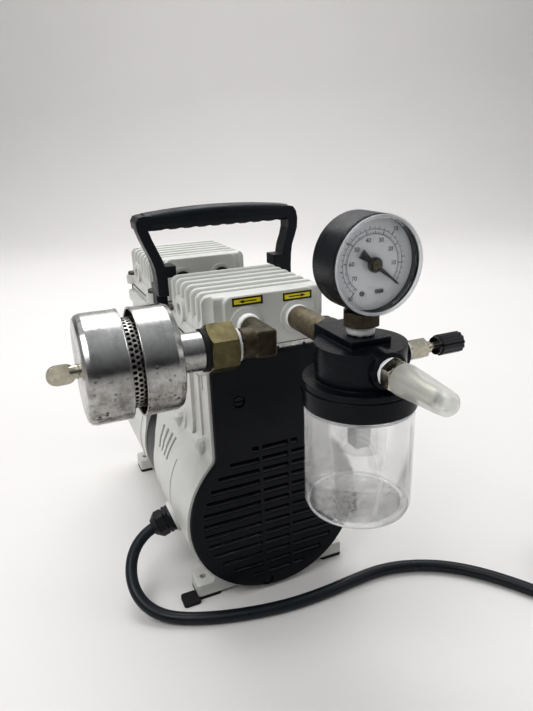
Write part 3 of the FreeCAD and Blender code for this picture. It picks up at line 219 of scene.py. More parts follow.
def surface(name, colour, roughness, metallic=0.0, variation=0.08, patch=0.03, grain=0.0012, bump=0.15,
            stretch=(1, 1, 1), bevel=0.0006, wear=0.0, wear_colour=None, grime=0.0,
            grime_colour=(0.1, 0.09, 0.07), coat=0.0, sheen=0.0, specular=0.5, alpha=1.0):
    """A solid finish: mottled colour, uneven gloss, fine grain, softened worn edges and some grime."""
    material, tree, shader = new_material(name)
    patches = spread(tree, noise(tree, patch), 0.3, 0.7)
    tint = mix(tree, patches, shade(colour, 1 - variation), shade(colour, 1 + variation))
    if grime:
        dirt = spread(tree, noise(tree, patch * 0.45, 6.0, roughness=0.7), 0.52, 0.75, 0, grime)
        tint = mix(tree, dirt, tint, grime_colour + (1,))
    if wear:
        rub = spread(tree, noise(tree, 0.004, 4.0), 0.4, 0.65)
        rub = times(tree, times(tree, rub, wear), edge_mask(tree, bevel * 1.6))
        tint = mix(tree, rub, tint, (wear_colour or shade(colour, 1.6)[:3]) + (1,))
    tree.links.new(tint, shader.inputs["Base Color"])
    gloss = spread(tree, noise(tree, patch * 0.6, 4.0), 0.3, 0.7, max(0.03, roughness - ROUGH_SPREAD),
                   min(1.0, roughness + ROUGH_SPREAD))
    tree.links.new(gloss, shader.inputs["Roughness"])
    grains = noise(tree, grain, 4.0, stretch)
    inputs = {"Height": grains, "Strength": bump, "Distance": 0.0002, "Normal": rounded_normal(tree, bevel)}
    tree.links.new(add(tree, "Bump", inputs).outputs["Normal"], shader.inputs["Normal"])
    shader.inputs["Metallic"].default_value = metallic
    shader.inputs["Coat Weight"].default_value = coat
    shader.inputs["Coat Roughness"].default_value = COAT_ROUGHNESS
    shader.inputs["Sheen Weight"].default_value = sheen
    shader.inputs["Specular IOR Level"].default_value = specular
    shader.inputs["Alpha"].default_value = alpha
    return material


def clear(name, colour, roughness, alpha, transmission=1.0, ior=1.49, haze=0.0):
    """A see-through plastic with faint haze and small scratches."""
    material, tree, shader = new_material(name)
    shader.inputs["Transmission Weight"].default_value = transmission
    shader.inputs["Alpha"].default_value = alpha
    shader.inputs["IOR"].default_value = ior
    tint = mix(tree, spread(tree, noise(tree, 0.02), 0.35, 0.7), colour + (1,), shade(colour, 0.95))
    tree.links.new(tint, shader.inputs["Base Color"])
    gloss = spread(tree, noise(tree, 0.006, 6.0), 0.45, 0.75, roughness, roughness + haze)
    tree.links.new(gloss, shader.inputs["Roughness"])
    bump = add(tree, "Bump", {"Height": noise(tree, 0.004), "Strength": 0.05, "Distance": 0.0002})
    tree.links.new(bump.outputs["Normal"], shader.inputs["Normal"])
    return material


STAIN_TOP = 0.238         # above this height the cans are hardly stained
STAIN_FULL = 0.214


def spun_metal(name, colour):
    """Spun aluminium: fine rings round the X axis, dark pits and brown specks low down."""
    material, tree, shader = new_material(name)
    rings = noise(tree, 0.05, 5.0, (60, 1, 1))
    tint = mix(tree, spread(tree, rings, 0.3, 0.7), shade(colour, 0.95), shade(colour, 1.05))
    cloud = spread(tree, noise(tree, 0.012, 5.0, roughness=0.7), 0.46, 0.72, 0, 0.6)
    tint = mix(tree, cloud, tint, shade(colour, 0.5))
    inputs = {"Vector": place(tree), "Scale": 270.0, "Randomness": 1.0}
    cells = add(tree, "TexVoronoi", inputs).outputs["Distance"]
    pits = times(tree, spread(tree, cells, 0.34, 0.16), spread(tree, noise(tree, 0.009, 3.0), 0.44, 0.56))
    height = add(tree, "SeparateXYZ", {"Vector": place(tree)}).outputs["Z"]
    low = spread(tree, height, STAIN_TOP, STAIN_FULL, 0.10, 1.0)
    pits = times(tree, pits, low)
    stain = times(tree, spread(tree, noise(tree, 0.007, 5.0, roughness=0.7), 0.42, 0.60, 0, 0.80), low)
    tint = mix(tree, stain, tint, (0.17, 0.15, 0.13, 1))
    tint = mix(tree, pits, tint, (0.045, 0.030, 0.020, 1))
    tree.links.new(tint, shader.inputs["Base Color"])
    shader.inputs["Metallic"].default_value = 1.0
    gloss = spread(tree, noise(tree, 0.02, 4.0), 0.35, 0.7, 0.16, 0.34)
    tree.links.new(gloss, shader.inputs["Roughness"])
    relief = add(tree, "Bump", {"Height": rings, "Strength": 0.05, "Distance": 0.0002,
                                "Normal": rounded_normal(tree, 0.0008)}).outputs["Normal"]
    relief = add(tree, "Bump", {"Height": pits, "Strength": 0.5, "Distance": 0.0003, "Normal": relief},
                 invert=True).outputs["Normal"]
    tree.links.new(relief, shader.inputs["Normal"])
    return material


def laminations(name):
    """Black varnished sheets, edge on: thin lines across the pump's length."""
    sheet = 0.0008
    material, tree, shader = new_material(name)
    where = add(tree, "SeparateXYZ", {"Vector": place(tree)}).outputs["Y"]
    lines = add(tree, "Math", {0: where, 1: sheet}, operation="PINGPONG").outputs[0]
    step = spread(tree, lines, 0.0, sheet)
    dust = spread(tree, noise(tree, 0.006, 5.0), 0.45, 0.75, 0, 0.5)
    tint = mix(tree, dust, (0.012, 0.012, 0.014, 1), (0.045, 0.042, 0.038, 1))
    tree.links.new(tint, shader.inputs["Base Color"])
    shader.inputs["Metallic"].default_value = 0.35
    shader.inputs["Roughness"].default_value = 0.38
    relief = add(tree, "Bump", {"Height": step, "Strength": 0.6, "Distance": 0.0003}).outputs["Normal"]
    tree.links.new(relief, shader.inputs["Normal"])
    return material


FINISH = {
    "cast_case": surface("cast_case", (0.62, 0.625, 0.595), 0.40, variation=0.03, patch=0.05,
                         grain=0.0016, bump=0.2, bevel=0.0012, wear=0.12,
                         wear_colour=(0.78, 0.78, 0.75), grime=0.25, grime_colour=(0.40, 0.38, 0.32),
                         coat=0.2),
    "machined_alu": surface("machined_alu", (0.60, 0.60, 0.59), 0.34, 0.95, 0.12, 0.012, 0.0006, 0.12,
                            stretch=(1, 12, 12), grime=0.5, grime_colour=(0.16, 0.15, 0.13)),
    "laminations": laminations("laminations"),
    "copper_winding": surface("copper_winding", (0.62, 0.27, 0.1), 0.35, 0.85, 0.2, 0.003, 0.001, 0.6,
                              stretch=(1, 1, 5)),
    "shaft_steel": surface("shaft_steel", (0.6, 0.6, 0.62), 0.25, 1.0, 0.06, 0.01, 0.0005, 0.06),
    "zinc_steel": surface("zinc_steel", (0.56, 0.55, 0.51), 0.3, 1.0, 0.15, 0.006, 0.0006, 0.1, grime=0.5,
                          grime_colour=(0.12, 0.11, 0.09), bevel=0.0003),
    "rod_alu": surface("rod_alu", (0.6, 0.6, 0.61), 0.5, 0.9, 0.06, 0.01, 0.0009, 0.3),
    "cup_polymer": surface("cup_polymer", (0.36, 0.25, 0.12), 0.55, grain=0.0007, bump=0.2),
    "fan_plastic": surface("fan_plastic", (0.02, 0.02, 0.022), 0.45, grain=0.0006, bump=0.12, grime=0.3,
                           grime_colour=(0.1, 0.095, 0.085)),
    "cover_plastic": surface("cover_plastic", (0.0034, 0.0048, 0.0078), 0.42, variation=0.2,
                             grain=0.0005, bump=0.18, bevel=0.0005, wear=0.2,
                             wear_colour=(0.05, 0.05, 0.055), grime=0.1, grime_colour=(0.03, 0.03, 0.03),
                             specular=0.18),
    "louvre_plastic": surface("louvre_plastic", (0.006, 0.007, 0.009), 0.2, variation=0.2,
                              grain=0.0008, bump=0.1, bevel=0.0003, specular=0.4),
    "handle_plastic": surface("handle_plastic", (0.0055, 0.0082, 0.012), 0.40, variation=0.2,
                              grain=0.0007, bump=0.3, bevel=0.0016, wear=0.3,
                              wear_colour=(0.06, 0.062, 0.07), grime=0.12, grime_colour=(0.04, 0.04, 0.04),
                              specular=0.24),
    "black_rubber": surface("black_rubber", (0.009, 0.009, 0.01), 0.7, grain=0.001, bump=0.3, grime=0.3,
                            grime_colour=(0.04, 0.04, 0.038), specular=0.3),
    "gasket": surface("gasket", (0.008, 0.008, 0.009), 0.75, grain=0.0008, bump=0.3, specular=0.3),
    "spring_steel": surface("spring_steel", (0.4, 0.41, 0.44), 0.25, 1.0, grain=0.0005, bump=0.05),
    "aged_brass": surface("aged_brass", (0.105, 0.09, 0.042), 0.34, 0.85, 0.25, 0.008, 0.0007, 0.22, wear=0.5,
                          wear_colour=(0.34, 0.29, 0.14), grime=0.6, grime_colour=(0.035, 0.032, 0.02),
                          bevel=0.0007),
    "nipple_brass": surface("nipple_brass", (0.150, 0.125, 0.078), 0.5, 0.6, 0.3, 0.004, 0.0005, 0.5,
                            stretch=(1, 6, 1), wear=0.4, wear_colour=(0.2, 0.16, 0.09), grime=0.5,
                            grime_colour=(0.2, 0.17, 0.12), bevel=0.0007),
    "dark_brass": surface("dark_brass", (0.055, 0.045, 0.024), 0.42, 0.55, 0.4, 0.004, 0.0005, 0.7, wear=0.6,
                          wear_colour=(0.30, 0.23, 0.10), grime=0.6, grime_colour=(0.018, 0.016, 0.012),
                          bevel=0.0009),
    "spun_alu": spun_metal("spun_alu", (0.50, 0.50, 0.485)),
    "screen_steel": surface("screen_steel", (0.42, 0.41, 0.38), 0.3, 1.0, 0.3, 0.006, 0.0006, 0.2, grime=0.7,
                            grime_colour=(0.06, 0.05, 0.035), bevel=0.0003),
    "filter_felt": surface("filter_felt", (0.012, 0.011, 0.01), 0.95, grain=0.0009, bump=0.8, sheen=0.1,
                           specular=0.1),
    "nickel": surface("nickel", (0.52, 0.49, 0.40), 0.2, 1.0, 0.15, 0.006, 0.0006, 0.08, grime=0.5,
                      grime_colour=(0.24, 0.21, 0.15), bevel=0.0004),
    "trap_plastic": surface("trap_plastic", (0.003, 0.0044, 0.0072), 0.28, variation=0.2,
                            grain=0.0011, bump=0.16, bevel=0.0012, wear=0.2,
                            wear_colour=(0.05, 0.05, 0.055), grime=0.1, grime_colour=(0.02, 0.022, 0.025),
                            specular=0.17),
    "clear_bowl": clear("clear_bowl", (0.95, 0.96, 0.96), 0.03, 0.34, haze=0.08),
    "white_plastic": surface("white_plastic", (0.78, 0.79, 0.78), 0.4, variation=0.03, grain=0.001,
                             bump=0.05),
    "gauge_black": surface("gauge_black", (0.0045, 0.0060, 0.0086), 0.34, 0.0, 0.2, 0.02, 0.0006, 0.14,
                           bevel=0.0007, wear=0.3, wear_colour=(0.06, 0.06, 0.062), grime=0.12,
                           grime_colour=(0.04, 0.04, 0.04), specular=0.24),
    "dial_face": surface("dial_face", (0.76, 0.775, 0.79), 0.45, 0.0, 0.015, 0.02, 0.0004, 0.02),
    "gauge_lens": clear("gauge_lens", (0.95, 0.96, 0.97), 0.03, 0.09, haze=0.03),
    "pointer_black": surface("pointer_black", (0.012, 0.012, 0.012), 0.4, grain=0.0005, bump=0.03,
                             bevel=0.0001),
    "clear_edge": clear("clear_edge", (0.82, 0.84, 0.86), 0.12, 0.55, 0.4, haze=0.05),
    "cap_vinyl": clear("cap_vinyl", (0.86, 0.87, 0.83), 0.34, 0.46, 0.5, 1.4, 0.1),
    "knob_plastic": surface("knob_plastic", (0.005, 0.0055, 0.007), 0.16, grain=0.001, bump=0.04,
                            bevel=0.0007, coat=0.25, specular=0.4),
    "tape_white": surface("tape_white", (0.86, 0.86, 0.85), 0.5, variation=0.04, patch=0.004, grain=0.0008,
                          bump=0.5),
    "label_yellow": surface("label_yellow", (0.86, 0.74, 0.02), 0.35, variation=0.05, grain=0.001, bump=0.03),
    "cord_jacket": surface("cord_jacket", (0.0085, 0.0115, 0.0155), 0.36, variation=0.15,
                           grain=0.0014, bump=0.12, grime=0.12, grime_colour=(0.035, 0.035, 0.034),
                           specular=0.3),
    "plug_plastic": surface("plug_plastic", (0.0055, 0.0065, 0.008), 0.38, grain=0.0006, bump=0.2,
                            bevel=0.0006, specular=0.35),
    "debris": surface("debris", (0.05, 0.048, 0.045), 0.9, variation=0.4, patch=0.002, grain=0.0005,
                      bump=0.8),
    "residue": surface("residue", (0.42, 0.42, 0.40), 0.8, variation=0.5, patch=0.006, grain=0.0008,
                       bump=0.4, alpha=0.30),
    "screw_dark": surface("screw_dark", (0.10, 0.095, 0.085), 0.36, 0.85, 0.2, 0.006, 0.0006, 0.12, grime=0.5,
                          grime_colour=(0.03, 0.028, 0.024), bevel=0.0003),
}
PRINT_BLACK = surface("print_black", (0.012, 0.012, 0.012), 0.45, grain=0.0008, bump=0.02, bevel=0.00005)
# Nodes whose finish is not the one their material slot names.
OWN_FINISH = {
    "inlet_nipple": "nipple_brass", "fan_cover_screws": "handle_plastic", "gauge_stem": "dark_brass",
    "head_screws": "screw_dark", "hose_barb": "nickel",
}


def finish_cad_nodes():
    for part in frame["record"]["subparts"]:
        node = NODES[part["node"]]
        node.data.materials.clear()
        finish = OWN_FINISH.get(part["node"], part["material_slot"])
        node.data.materials.append(FINISH[finish])


finish_cad_nodes()


# ---- flat print ----
def printed(name, shape):
    """A flat print, its faces left turned as they were drawn."""
    mesh = bpy.data.meshes.new(name)
    shape.to_mesh(mesh)
    shape.free()
    return link_mesh(name, mesh, PRINT_BLACK)


# ---- power cord ----
CORD_DIAMETER = 0.0094
CORD_ROUTE = [
    (-0.078, -0.072, 0.0487), (-0.0885, -0.072, 0.0452), (-0.0985, -0.075, 0.041), (-0.1065, -0.081, 0.036),
    (-0.112, -0.090, 0.030), (-0.1145, -0.101, 0.023), (-0.113, -0.1125, 0.016), (-0.107, -0.1225, 0.010),
    (-0.098, -0.131, 0.0064), (-0.086, -0.138, 0.0048), (-0.0715, -0.145, 0.0048), (-0.053, -0.1515, 0.0048),
    (-0.029, -0.1575, 0.0048), (-0.002, -0.1615, 0.0048), (0.028, -0.1615, 0.0048), (0.056, -0.159, 0.0048),
    (0.082, -0.158, 0.0048), (0.105, -0.163, 0.0048), (0.127, -0.173, 0.0048), (0.147, -0.1885, 0.0048),
    (0.164, -0.2085, 0.0048), (0.1785, -0.231, 0.0048), (0.1925, -0.256, 0.0048),
]
COIL_CENTRE = (0.251, -0.250)
COIL_TURNS = ((0.0532, 0.0049), (0.0438, 0.0049), (0.0438, 0.0143), (0.0532, 0.0143))
TURN_POINTS = 20
SHIFT_POINTS = 5          # points over which a turn moves to the next one's place
EXTRA_POINTS = 8          # past the last full turn, to where the plug leaves
COIL_START = 214          # degrees
COIL_WANDER = 0.0004


def coil_points():
    """Two turns beside each other, with two more on top, wound counter-clockwise."""
    first = math.radians(COIL_START)
    last = len(COIL_TURNS) - 1
    points = []
    for i in range(TURN_POINTS * len(COIL_TURNS) + EXTRA_POINTS):
        turn, place_in_turn = divmod(i, TURN_POINTS)
        now = COIL_TURNS[min(turn, last)]
        before = COIL_TURNS[max(0, turn - 1)] if turn <= last else now
        share = min(1.0, (place_in_turn + 1) / SHIFT_POINTS)
        share = share * share * (3 - 2 * share)
        radius = before[0] + (now[0] - before[0]) * share
        height = before[1] + (now[1] - before[1]) * share
        radius += COIL_WANDER * math.sin(1.7 * i)
        angle = first + 2 * math.pi * i / TURN_POINTS
        at = (COIL_CENTRE[0] + radius * math.cos(angle), COIL_CENTRE[1] + radius * math.sin(angle), height)
        points.append(at)
    return points


def cord_curve(name, points, diameter, material):
    data = bpy.data.curves.new(name, "CURVE")
    data.dimensions = "3D"
    data.bevel_depth = diameter / 2
    data.bevel_resolution = 6
    data.resolution_u = 10
    data.use_fill_caps = True
    line = data.splines.new("NURBS")
    line.points.add(len(points) - 1)
    for point, at in zip(line.points, points):
        point.co = (*at, 1.0)
    line.order_u = 3
    line.use_endpoint_u = True
    data.materials.append(material)
    piece = bpy.data.objects.new(name, data)
    bpy.context.scene.collection.objects.link(piece)
    return piece


def cord_tie():
    """Hook-and-loop band round the four turns, on the side away from the plug."""
    radial_in, radial_out, top, half_width, thick = 0.0385, 0.0586, 0.0195, 0.006, 0.0009
    shape = bmesh.new()
    sections = []
    for side in (-half_width, half_width):
        for inset in (0, thick):
            low, high = radial_in + inset, radial_out - inset
            floor, roof = inset * 0.4, top - inset
            corner = 0.0042 - inset
            loop = []
            for cx, cz, start in ((high - corner, roof - corner, 0), (low + corner, roof - corner, 90),
                                  (low + corner, floor + corner, 180), (high - corner, floor + corner, 270)):
                for step in range(6):
                    turn = math.radians(start + 18 * step)
                    at = (side + COIL_CENTRE[0], COIL_CENTRE[1] + cx + corner * math.cos(turn),
                          cz + corner * math.sin(turn))
                    loop.append(shape.verts.new(at))
            sections.append(loop)
    outer_a, inner_a, outer_b, inner_b = sections
    for first, second in ((outer_a, outer_b), (inner_b, inner_a), (inner_a, outer_a), (outer_b, inner_b)):
        for i in range(len(first)):
            k = (i + 1) % len(first)
            shape.faces.new((first[i], first[k], second[k], second[i]))
    mesh = mesh_from_bmesh("cord_tie", shape)
    return link_mesh("cord_tie", mesh, FINISH["black_rubber"])


def plug_grips():
    """Raised ribs on both flat sides of the plug."""
    body_start, body_half, count, pitch = 0.0245, 0.012, 6, 0.0034
    rib = (0.0012, 0.0014, 0.013)
    centre = middle("power_plug")
    start_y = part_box("power_plug")[0].y + body_start
    shape = bmesh.new()
    for side in (-1, 1):
        for i in range(count):
            add_bar(shape, Vector((centre.x + side * body_half, start_y + pitch * i, centre.z)), rib)
    mesh = mesh_from_bmesh("plug_grips", shape, False)
    return link_mesh("plug_grips", mesh, FINISH["plug_plastic"])


def power_cord():
    plug_x = middle("power_plug").x
    plug_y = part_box("power_plug")[0].y
    points = CORD_ROUTE + coil_points()
    points += [(plug_x, plug_y - 0.008, 0.0118), (plug_x, plug_y + 0.003, 0.011)]
    cord = cord_curve("power_cord_line", points, CORD_DIAMETER, FINISH["cord_jacket"])
    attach(cord, ROOT)
    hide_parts("power_cord", "power_cord_coil")
    cord_tie()
    plug_grips()


power_cord()


# ---- louvres behind the cover slots ----
CRANK_Z = 0.074
SLOT_PITCH = 0.00945
SLOT_REACH = 0.0605
SLOT_HALF = 0.0026
SLOT_LIFT = 0.0008
SLOT_ROWS = 6             # above and below the shaft
SHORTEST_BLADE = 0.01
# Depth behind the cover's face and rise above the row, corner by corner.
BLADE_SECTION = (
    (0.0006, -SLOT_HALF - 0.0002), (0.0006, -SLOT_HALF + 0.0012), (0.0072, 0.0040), (0.0072, 0.0026),
)


def louvres(name, node, outward):
    """One slanted blade behind each row of slots; outward is -1 at the front and 1 at the back."""
    low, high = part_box(node)
    face_y = low.y if outward < 0 else high.y
    shape = bmesh.new()
    for row in range(-SLOT_ROWS, SLOT_ROWS + 1):
        z = CRANK_Z + SLOT_LIFT + row * SLOT_PITCH
        half = math.sqrt(max(0.0, SLOT_REACH ** 2 - (z - CRANK_Z) ** 2))
        if half < SHORTEST_BLADE:
            continue
        ends = [[shape.verts.new((x, face_y - outward * depth, z + rise)) for depth, rise in BLADE_SECTION]
                for x in (-half, half)]
        for i in range(4):
            k = (i + 1) % 4
            shape.faces.new((ends[0][i], ends[0][k], ends[1][k], ends[1][i]))
        shape.faces.new(ends[0])
        shape.faces.new(ends[1])
    mesh = mesh_from_bmesh(name, shape, False)
    return link_mesh(name, mesh, FINISH["louvre_plastic"])


louvres("front_louvres", "front_fan_cover", -1)
louvres("rear_louvres", "rear_fan_cover", 1)


# ---- gauge dial ----
DIAL = middle("gauge_dial")
PRINT_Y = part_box("gauge_dial")[0].y - 0.00006
SCALE_START = -38.0       # degrees above the right-hand horizontal
SCALE_SWEEP = 270.0
SCALE_TOP = 76
OUTER_TOP = 30
INNER_R = 0.0160
OUTER_R = 0.0186
INNER_NUMBER_R = 0.0133
OUTER_NUMBER_R = 0.0225
ARC_LINE = 0.00026
ARC_STEPS = 90


def scale_angle(value, top):
    return SCALE_START + SCALE_SWEEP * value / top


def dial_point(radius, degrees, forward=0.0):
    turn = math.radians(degrees)
    return Vector((DIAL.x + radius * math.cos(turn), PRINT_Y - forward, DIAL.z + radius * math.sin(turn)))


def flat_mark(shape, radius, degrees, length, width):
    """A thin bar along the radius."""
    turn = math.radians(degrees)
    along = Vector((math.cos(turn), 0, math.sin(turn)))
    across = Vector((-along.z, 0, along.x)) * (width / 2)
    inner = dial_point(radius, degrees)
    outer = inner + along * length
    corners = (inner - across, outer - across, outer + across, inner + across)
    shape.faces.new([shape.verts.new(p) for p in corners])


def text_mesh(text, size):
    data = bpy.data.curves.new("number", "FONT")
    data.body = text
    data.size = size
    data.align_x = "CENTER"
    data.align_y = "CENTER"
    data.offset = size * 0.02
    holder = bpy.data.objects.new("number", data)
    bpy.context.scene.collection.objects.link(holder)
    mesh = bpy.data.meshes.new_from_object(holder.evaluated_get(bpy.context.evaluated_depsgraph_get()))
    bpy.data.objects.remove(holder)
    return mesh


def add_text(shape, text, size, at):
    mesh = text_mesh(text, size)
    mesh.transform(Matrix.Translation(at) @ Matrix.Rotation(math.radians(90), 4, "X"))
    shape.from_mesh(mesh)


def scale_marks(shape, radius, top, fine, long_tick, short_tick):
    """One arc with a tick for every unit, longer at fives and longest at tens."""
    for value in range(0, top + 1):
        degrees = scale_angle(value, top)
        if value % 10 == 0:
            flat_mark(shape, radius, degrees, long_tick, fine * 2)
        elif value % 5 == 0:
            flat_mark(shape, radius, degrees, (long_tick + short_tick) / 2, fine * 1.4)
        else:
            flat_mark(shape, radius, degrees, short_tick, fine)
    for i in range(ARC_STEPS):
        a = scale_angle(i, ARC_STEPS)
        b = scale_angle(i + 1, ARC_STEPS)
        corners = (dial_point(radius, a), dial_point(radius + ARC_LINE, a), dial_point(radius + ARC_LINE, b),
                   dial_point(radius, b))
        shape.faces.new([shape.verts.new(p) for p in corners])


def dial_print():
    """Two scales, rising counter-clockwise, with their numbers."""
    shape = bmesh.new()
    scale_marks(shape, INNER_R, SCALE_TOP, fine=0.00026, long_tick=0.0022, short_tick=0.0012)
    scale_marks(shape, OUTER_R, OUTER_TOP, fine=0.00032, long_tick=0.0023, short_tick=0.0014)
    for radius, top, size in ((INNER_NUMBER_R, SCALE_TOP, 0.0033), (OUTER_NUMBER_R, OUTER_TOP, 0.0032)):
        for value in range(10, top + 1, 10):
            add_text(shape, str(value), size, dial_point(radius, scale_angle(value, top)))
    return printed("dial_print", shape)


def dial_fittings():
    """Slotted dial screw, the pointer's stop bar and the pointer's brass cap."""
    shape = bmesh.new()
    add_disc(shape, dial_point(0.0169, 247, 0.0003), (0, 1, 0), 0.0014, 0.0007)
    add_bar(shape, dial_point(0.0159, SCALE_START - 36, 0.0004), (0.0050, 0.0008, 0.0020))
    mesh = mesh_from_bmesh("dial_fittings", shape, False)
    link_mesh("dial_fittings", mesh, FINISH["screw_dark"])
    cap = bmesh.new()
    pointer_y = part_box("gauge_pointer")[0].y
    add_disc(cap, Vector((DIAL.x, pointer_y - 0.0003, DIAL.z)), (0, 1, 0), 0.0024, 0.0008)
    mesh = mesh_from_bmesh("pointer_cap", cap, False)
    link_mesh("pointer_cap", mesh, FINISH["aged_brass"], "gauge_hand")


def window_rim():
    """Thicker clear bead round the press-on window."""
    front_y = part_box("gauge_window")[0].y
    shape = bmesh.new()
    add_torus(shape, (DIAL.x, front_y + 0.0012, DIAL.z), (0, 1, 0), radius=0.0262, tube=0.0010)
    mesh = mesh_from_bmesh("window_rim", shape)
    return link_mesh("window_rim", mesh, FINISH["clear_edge"])


dial_print()
dial_fittings()
window_rim()


# ---- port labels ----
def label_print(name, centre_x, centre_z, pointing):
    """Black border and a flow arrow; pointing is 1 out of the port and -1 into it."""
    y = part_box("port_labels")[0].y - 0.00004
    half_x, half_z, border = 0.0112, 0.00295, 0.0013
    shaft, head, neck, tip = 0.0004, 0.0012, 0.0028, 0.0066
    shape = bmesh.new()

    def face(*corners):
        shape.faces.new([shape.verts.new((centre_x + x, y, centre_z + z)) for x, z in corners])

    for side in (-1, 1):
        face((-half_x, side * half_z), (half_x, side * half_z), (half_x, side * (half_z - border)),
             (-half_x, side * (half_z - border)))
        face((side * half_x, -half_z), (side * half_x, half_z), (side * (half_x - border), half_z),
             (side * (half_x - border), -half_z))
    p = -pointing
    face((-p * tip, -shaft), (p * neck, -shaft), (p * neck, shaft), (-p * tip, shaft))
    face((p * neck, -head), (p * tip, 0), (p * neck, head))
    return printed(name, shape)


label_print("outlet_label_print", -0.0171, 0.2463, 1)
label_print("inlet_label_print", 0.0207, 0.2452, -1)


# ---- sealing tape ----
PORT_X = 0.019
PORT_Z = 0.2305
TAPE_DEPTH = 0.0012       # how far a sleeve's ends reach in


def add_wrap(shape, centre, axis, radius, length, bumps):
    """A ragged sleeve of tape whose radius and ends wander, closed by a ring at each end."""
    turn = Vector(axis).to_track_quat("Z", "X").to_matrix()
    around, along = 36, 5
    grid = []
    for i in range(around):
        angle = 2 * math.pi * i / around
        ragged = [rng.uniform(-0.0005, 0.0003) for _ in range(2)]
        row = []
        for k in range(along):
            t = k / (along - 1)
            z = -length / 2 + length * t + (-ragged[0] if k == 0 else ragged[1] if k == along - 1 else 0)
            swell = bumps * math.sin(math.pi * t) + rng.uniform(-0.00012, 0.00016)
            row.append(shape.verts.new(ring_point(centre, turn, radius + swell, angle, z)))
        grid.append(row)
    for i in range(around):
        k2 = (i + 1) % around
        for k in range(along - 1):
            shape.faces.new((grid[i][k], grid[k2][k], grid[k2][k + 1], grid[i][k + 1]))
    for k, end in ((0, -1), (along - 1, 1)):
        inner = []
        for i in range(around):
            angle = 2 * math.pi * i / around
            at = ring_point(centre, turn, radius - TAPE_DEPTH, angle, end * length / 2)
            inner.append(shape.verts.new(at))
        for i in range(around):
            k2 = (i + 1) % around
            shape.faces.new((grid[i][k], grid[k2][k], inner[k2], inner[i]))


def tape_wraps():
    """Centre, axis, radius, length and swell of the tape at each threaded joint."""
    silencer, trap = middle("silencer_base"), middle("trap_bowl")
    knob, barb = middle("bleed_knob"), middle("barb_cap")
    across, along, upright = (1, 0, 0), (0, 1, 0), (0, 0, 1)
    wraps = (
        ((-PORT_X, -0.1382, PORT_Z), along, 0.0078, 0.0062, 0.0007),
        ((-0.0392, silencer.y, silencer.z), across, 0.0107, 0.0027, 0.0005),
        ((PORT_X, -0.1363, PORT_Z), along, 0.0089, 0.0034, 0.0003),
        ((PORT_X, -0.1795, PORT_Z), along, 0.0073, 0.0028, 0.0003),
        ((PORT_X, trap.y, 0.2442), upright, 0.0078, 0.0050, 0.0005),
        ((0.0502, trap.y, knob.z), across, 0.0064, 0.0028, 0.0004),
        ((PORT_X, -0.2507, barb.z), along, 0.0082, 0.0032, 0.0004),
    )
    shape = bmesh.new()
    for wrap in wraps:
        add_wrap(shape, *wrap)
    mesh = mesh_from_bmesh("tape_wraps", shape)
    tape = link_mesh("tape_wraps", mesh, FINISH["tape_white"])
    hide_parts("thread_tapes")


tape_wraps()


# ---- silencer details ----
RIM_INSET = 0.0004


def can_rim(name, node, edge_x, body):
    """Rolled bead on a can's open edge."""
    low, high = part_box(node)
    radius = (high.z - low.z) / 2 - RIM_INSET
    centre = middle(node)
    shape = bmesh.new()
    add_torus(shape, (edge_x, centre.y, centre.z), (1, 0, 0), radius, tube=0.0007)
    return link_mesh(name, mesh_from_bmesh(name, shape), FINISH["spun_alu"], body)


can_rim("base_rim", "silencer_base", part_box("silencer_base")[0].x + RIM_INSET, ROOT)
can_rim("cover_rim", "silencer_cover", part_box("silencer_cover")[1].x - RIM_INSET, "muffler_cover")


# ---- bowl details ----
BEAD = 0.0008
COLLAR_BEAD_Z = 0.1975
BOWL_FLOOR = 0.0024       # thickness
SPECKS = 190
HEAP_SPECKS = 110         # of those, in one heap to the left
HEAP_RADIUS = 0.017
SPECK_RADIUS = 0.0262
SPECK_SIZES = (0.0002, 0.0003, 0.0004, 0.0007)
FILM_RADIUS = 0.0272
FILM_THICK = 0.0002


def bowl_edges():
    """Thick clear beads at the bowl's foot and under the collar."""
    low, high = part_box("trap_bowl")
    centre = middle("trap_bowl")
    radius = (high.x - low.x) / 2
    shape = bmesh.new()
    add_torus(shape, (centre.x, centre.y, low.z + 0.0013), (0, 0, 1), radius - 0.0021, BEAD)
    add_torus(shape, (centre.x, centre.y, COLLAR_BEAD_Z), (0, 0, 1), radius - 0.0010, BEAD)
    mesh = mesh_from_bmesh("bowl_edges", shape)
    return link_mesh("bowl_edges", mesh, FINISH["clear_edge"], "bowl")


def bowl_debris():
    """Fine specks and a thin film of residue on the bowl's floor."""
    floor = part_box("trap_bowl")[0].z + BOWL_FLOOR
    centre = middle("trap_bowl")
    shape = bmesh.new()
    for i in range(SPECKS):
        heaped = i < HEAP_SPECKS
        radius = (HEAP_RADIUS if heaped else SPECK_RADIUS) * math.sqrt(rng.random())
        angle = rng.uniform(0.55, 1.35) * math.pi if heaped else rng.uniform(0, 2 * math.pi)
        size = rng.choice(SPECK_SIZES)
        x = centre.x + radius * math.cos(angle)
        y = centre.y + radius * math.sin(angle)
        wide, deep = size * rng.uniform(0.8, 1.8), size * rng.uniform(0.8, 1.8)
        squash = Matrix.Diagonal((wide, deep, size * 0.7, 1.0))
        turn = Matrix.Rotation(rng.uniform(0, 3.1), 4, "Z")
        place_in_bowl = Matrix.Translation(Vector((x, y, floor + size * 0.4))) @ turn @ squash
        bmesh.ops.create_icosphere(shape, subdivisions=1, radius=1.0, matrix=place_in_bowl)
    mesh = mesh_from_bmesh("bowl_debris", shape, False)
    link_mesh("bowl_debris", mesh, FINISH["debris"], "bowl")
    film = bmesh.new()
    add_disc(film, (centre.x, centre.y, floor), (0, 0, 1), FILM_RADIUS, FILM_THICK, segments=48)
    mesh = mesh_from_bmesh("bowl_residue", film, False)
    link_mesh("bowl_residue", mesh, FINISH["residue"], "bowl")


bowl_edges()
bowl_debris()


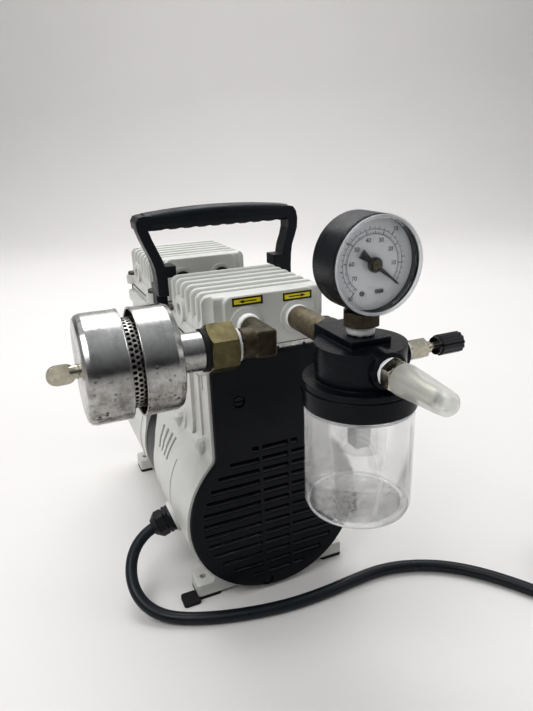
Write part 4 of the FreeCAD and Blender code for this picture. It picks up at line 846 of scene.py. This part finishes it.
# ---- stage ----
def world_light():
    """Bright above and behind the pump, dark on the viewer's side, as in a room with one lit wall."""
    world = bpy.context.scene.world or bpy.data.worlds.new("world")
    bpy.context.scene.world = world
    world.use_nodes = True
    tree = world.node_tree
    way = add(tree, "SeparateXYZ", {"Vector": add(tree, "TexCoord").outputs["Generated"]})
    depth = spread(tree, way.outputs["Y"], -0.7, 0.6, 0.05, 0.50)
    height = spread(tree, way.outputs["Z"], 0.15, 0.9, 0.0, 0.42)
    level = add(tree, "Math", {0: depth, 1: height}, operation="ADD").outputs[0]
    tree.links.new(level, tree.nodes["Background"].inputs["Strength"])
    tree.nodes["Background"].inputs["Color"].default_value = (0.95, 0.97, 1.0, 1)


def sweep():
    """Paper floor that curves up into a wall behind the pump, square to the camera's heading."""
    yaw = math.radians(CAMERA_YAW)
    ahead = Vector((math.sin(yaw), math.cos(yaw), 0))
    across = Vector((math.cos(yaw), -math.sin(yaw), 0))
    front, flat_end, bend, half_width, top, steps = -25.0, 1.7, 1.1, 25.0, 4.0, 24
    profile = [(front, 0.0), (flat_end - 0.2, 0.0)]
    for i in range(steps + 1):
        turn = math.pi / 2 * i / steps
        profile.append((flat_end + bend * math.sin(turn), bend * (1 - math.cos(turn))))
    profile.append((flat_end + bend, top))
    mesh = bpy.data.meshes.new("floor")
    points = []
    for reach, height in profile:
        for side in (-1, 1):
            points.append(ahead * reach + across * (side * half_width) + Vector((0, 0, height)))
    faces = [(2 * i, 2 * i + 1, 2 * i + 3, 2 * i + 2) for i in range(len(profile) - 1)]
    mesh.from_pydata(points, [], faces)
    for face in mesh.polygons:
        face.use_smooth = True
    floor = bpy.data.objects.new("floor", mesh)
    bpy.context.scene.collection.objects.link(floor)
    paper = surface("paper", (0.72, 0.703, 0.69), 0.85, variation=0.01, patch=0.4, bump=0.02, specular=0.1)
    floor.data.materials.append(paper)


def stage():
    sweep()
    world_light()
    pump = Vector((0, -0.05, 0.15))
    wall = Vector((1.1, 2.6, 0.9))
    lamps = (
        ("key", (-0.9, -0.6, 1.5), pump, 1.0, 13),
        ("fill", (1.3, -0.9, 0.9), pump, 1.0, 3.5),
        ("top", (0.2, 0.9, 1.7), pump, 1.6, 18),
        ("wash", (0.4, 1.0, 2.6), wall, 2.0, 34),
    )
    for name, at, aim, size, watts in lamps:
        data = bpy.data.lights.new(name, "AREA")
        data.size = size
        data.energy = watts
        lamp = bpy.data.objects.new(name, data)
        lamp.location = at
        lamp.rotation_euler = (aim - Vector(at)).to_track_quat("-Z", "Y").to_euler()
        bpy.context.scene.collection.objects.link(lamp)


stage()
bpy.context.scene.view_settings.view_transform = "Standard"
bpy.context.scene.view_settings.gamma = 0.88
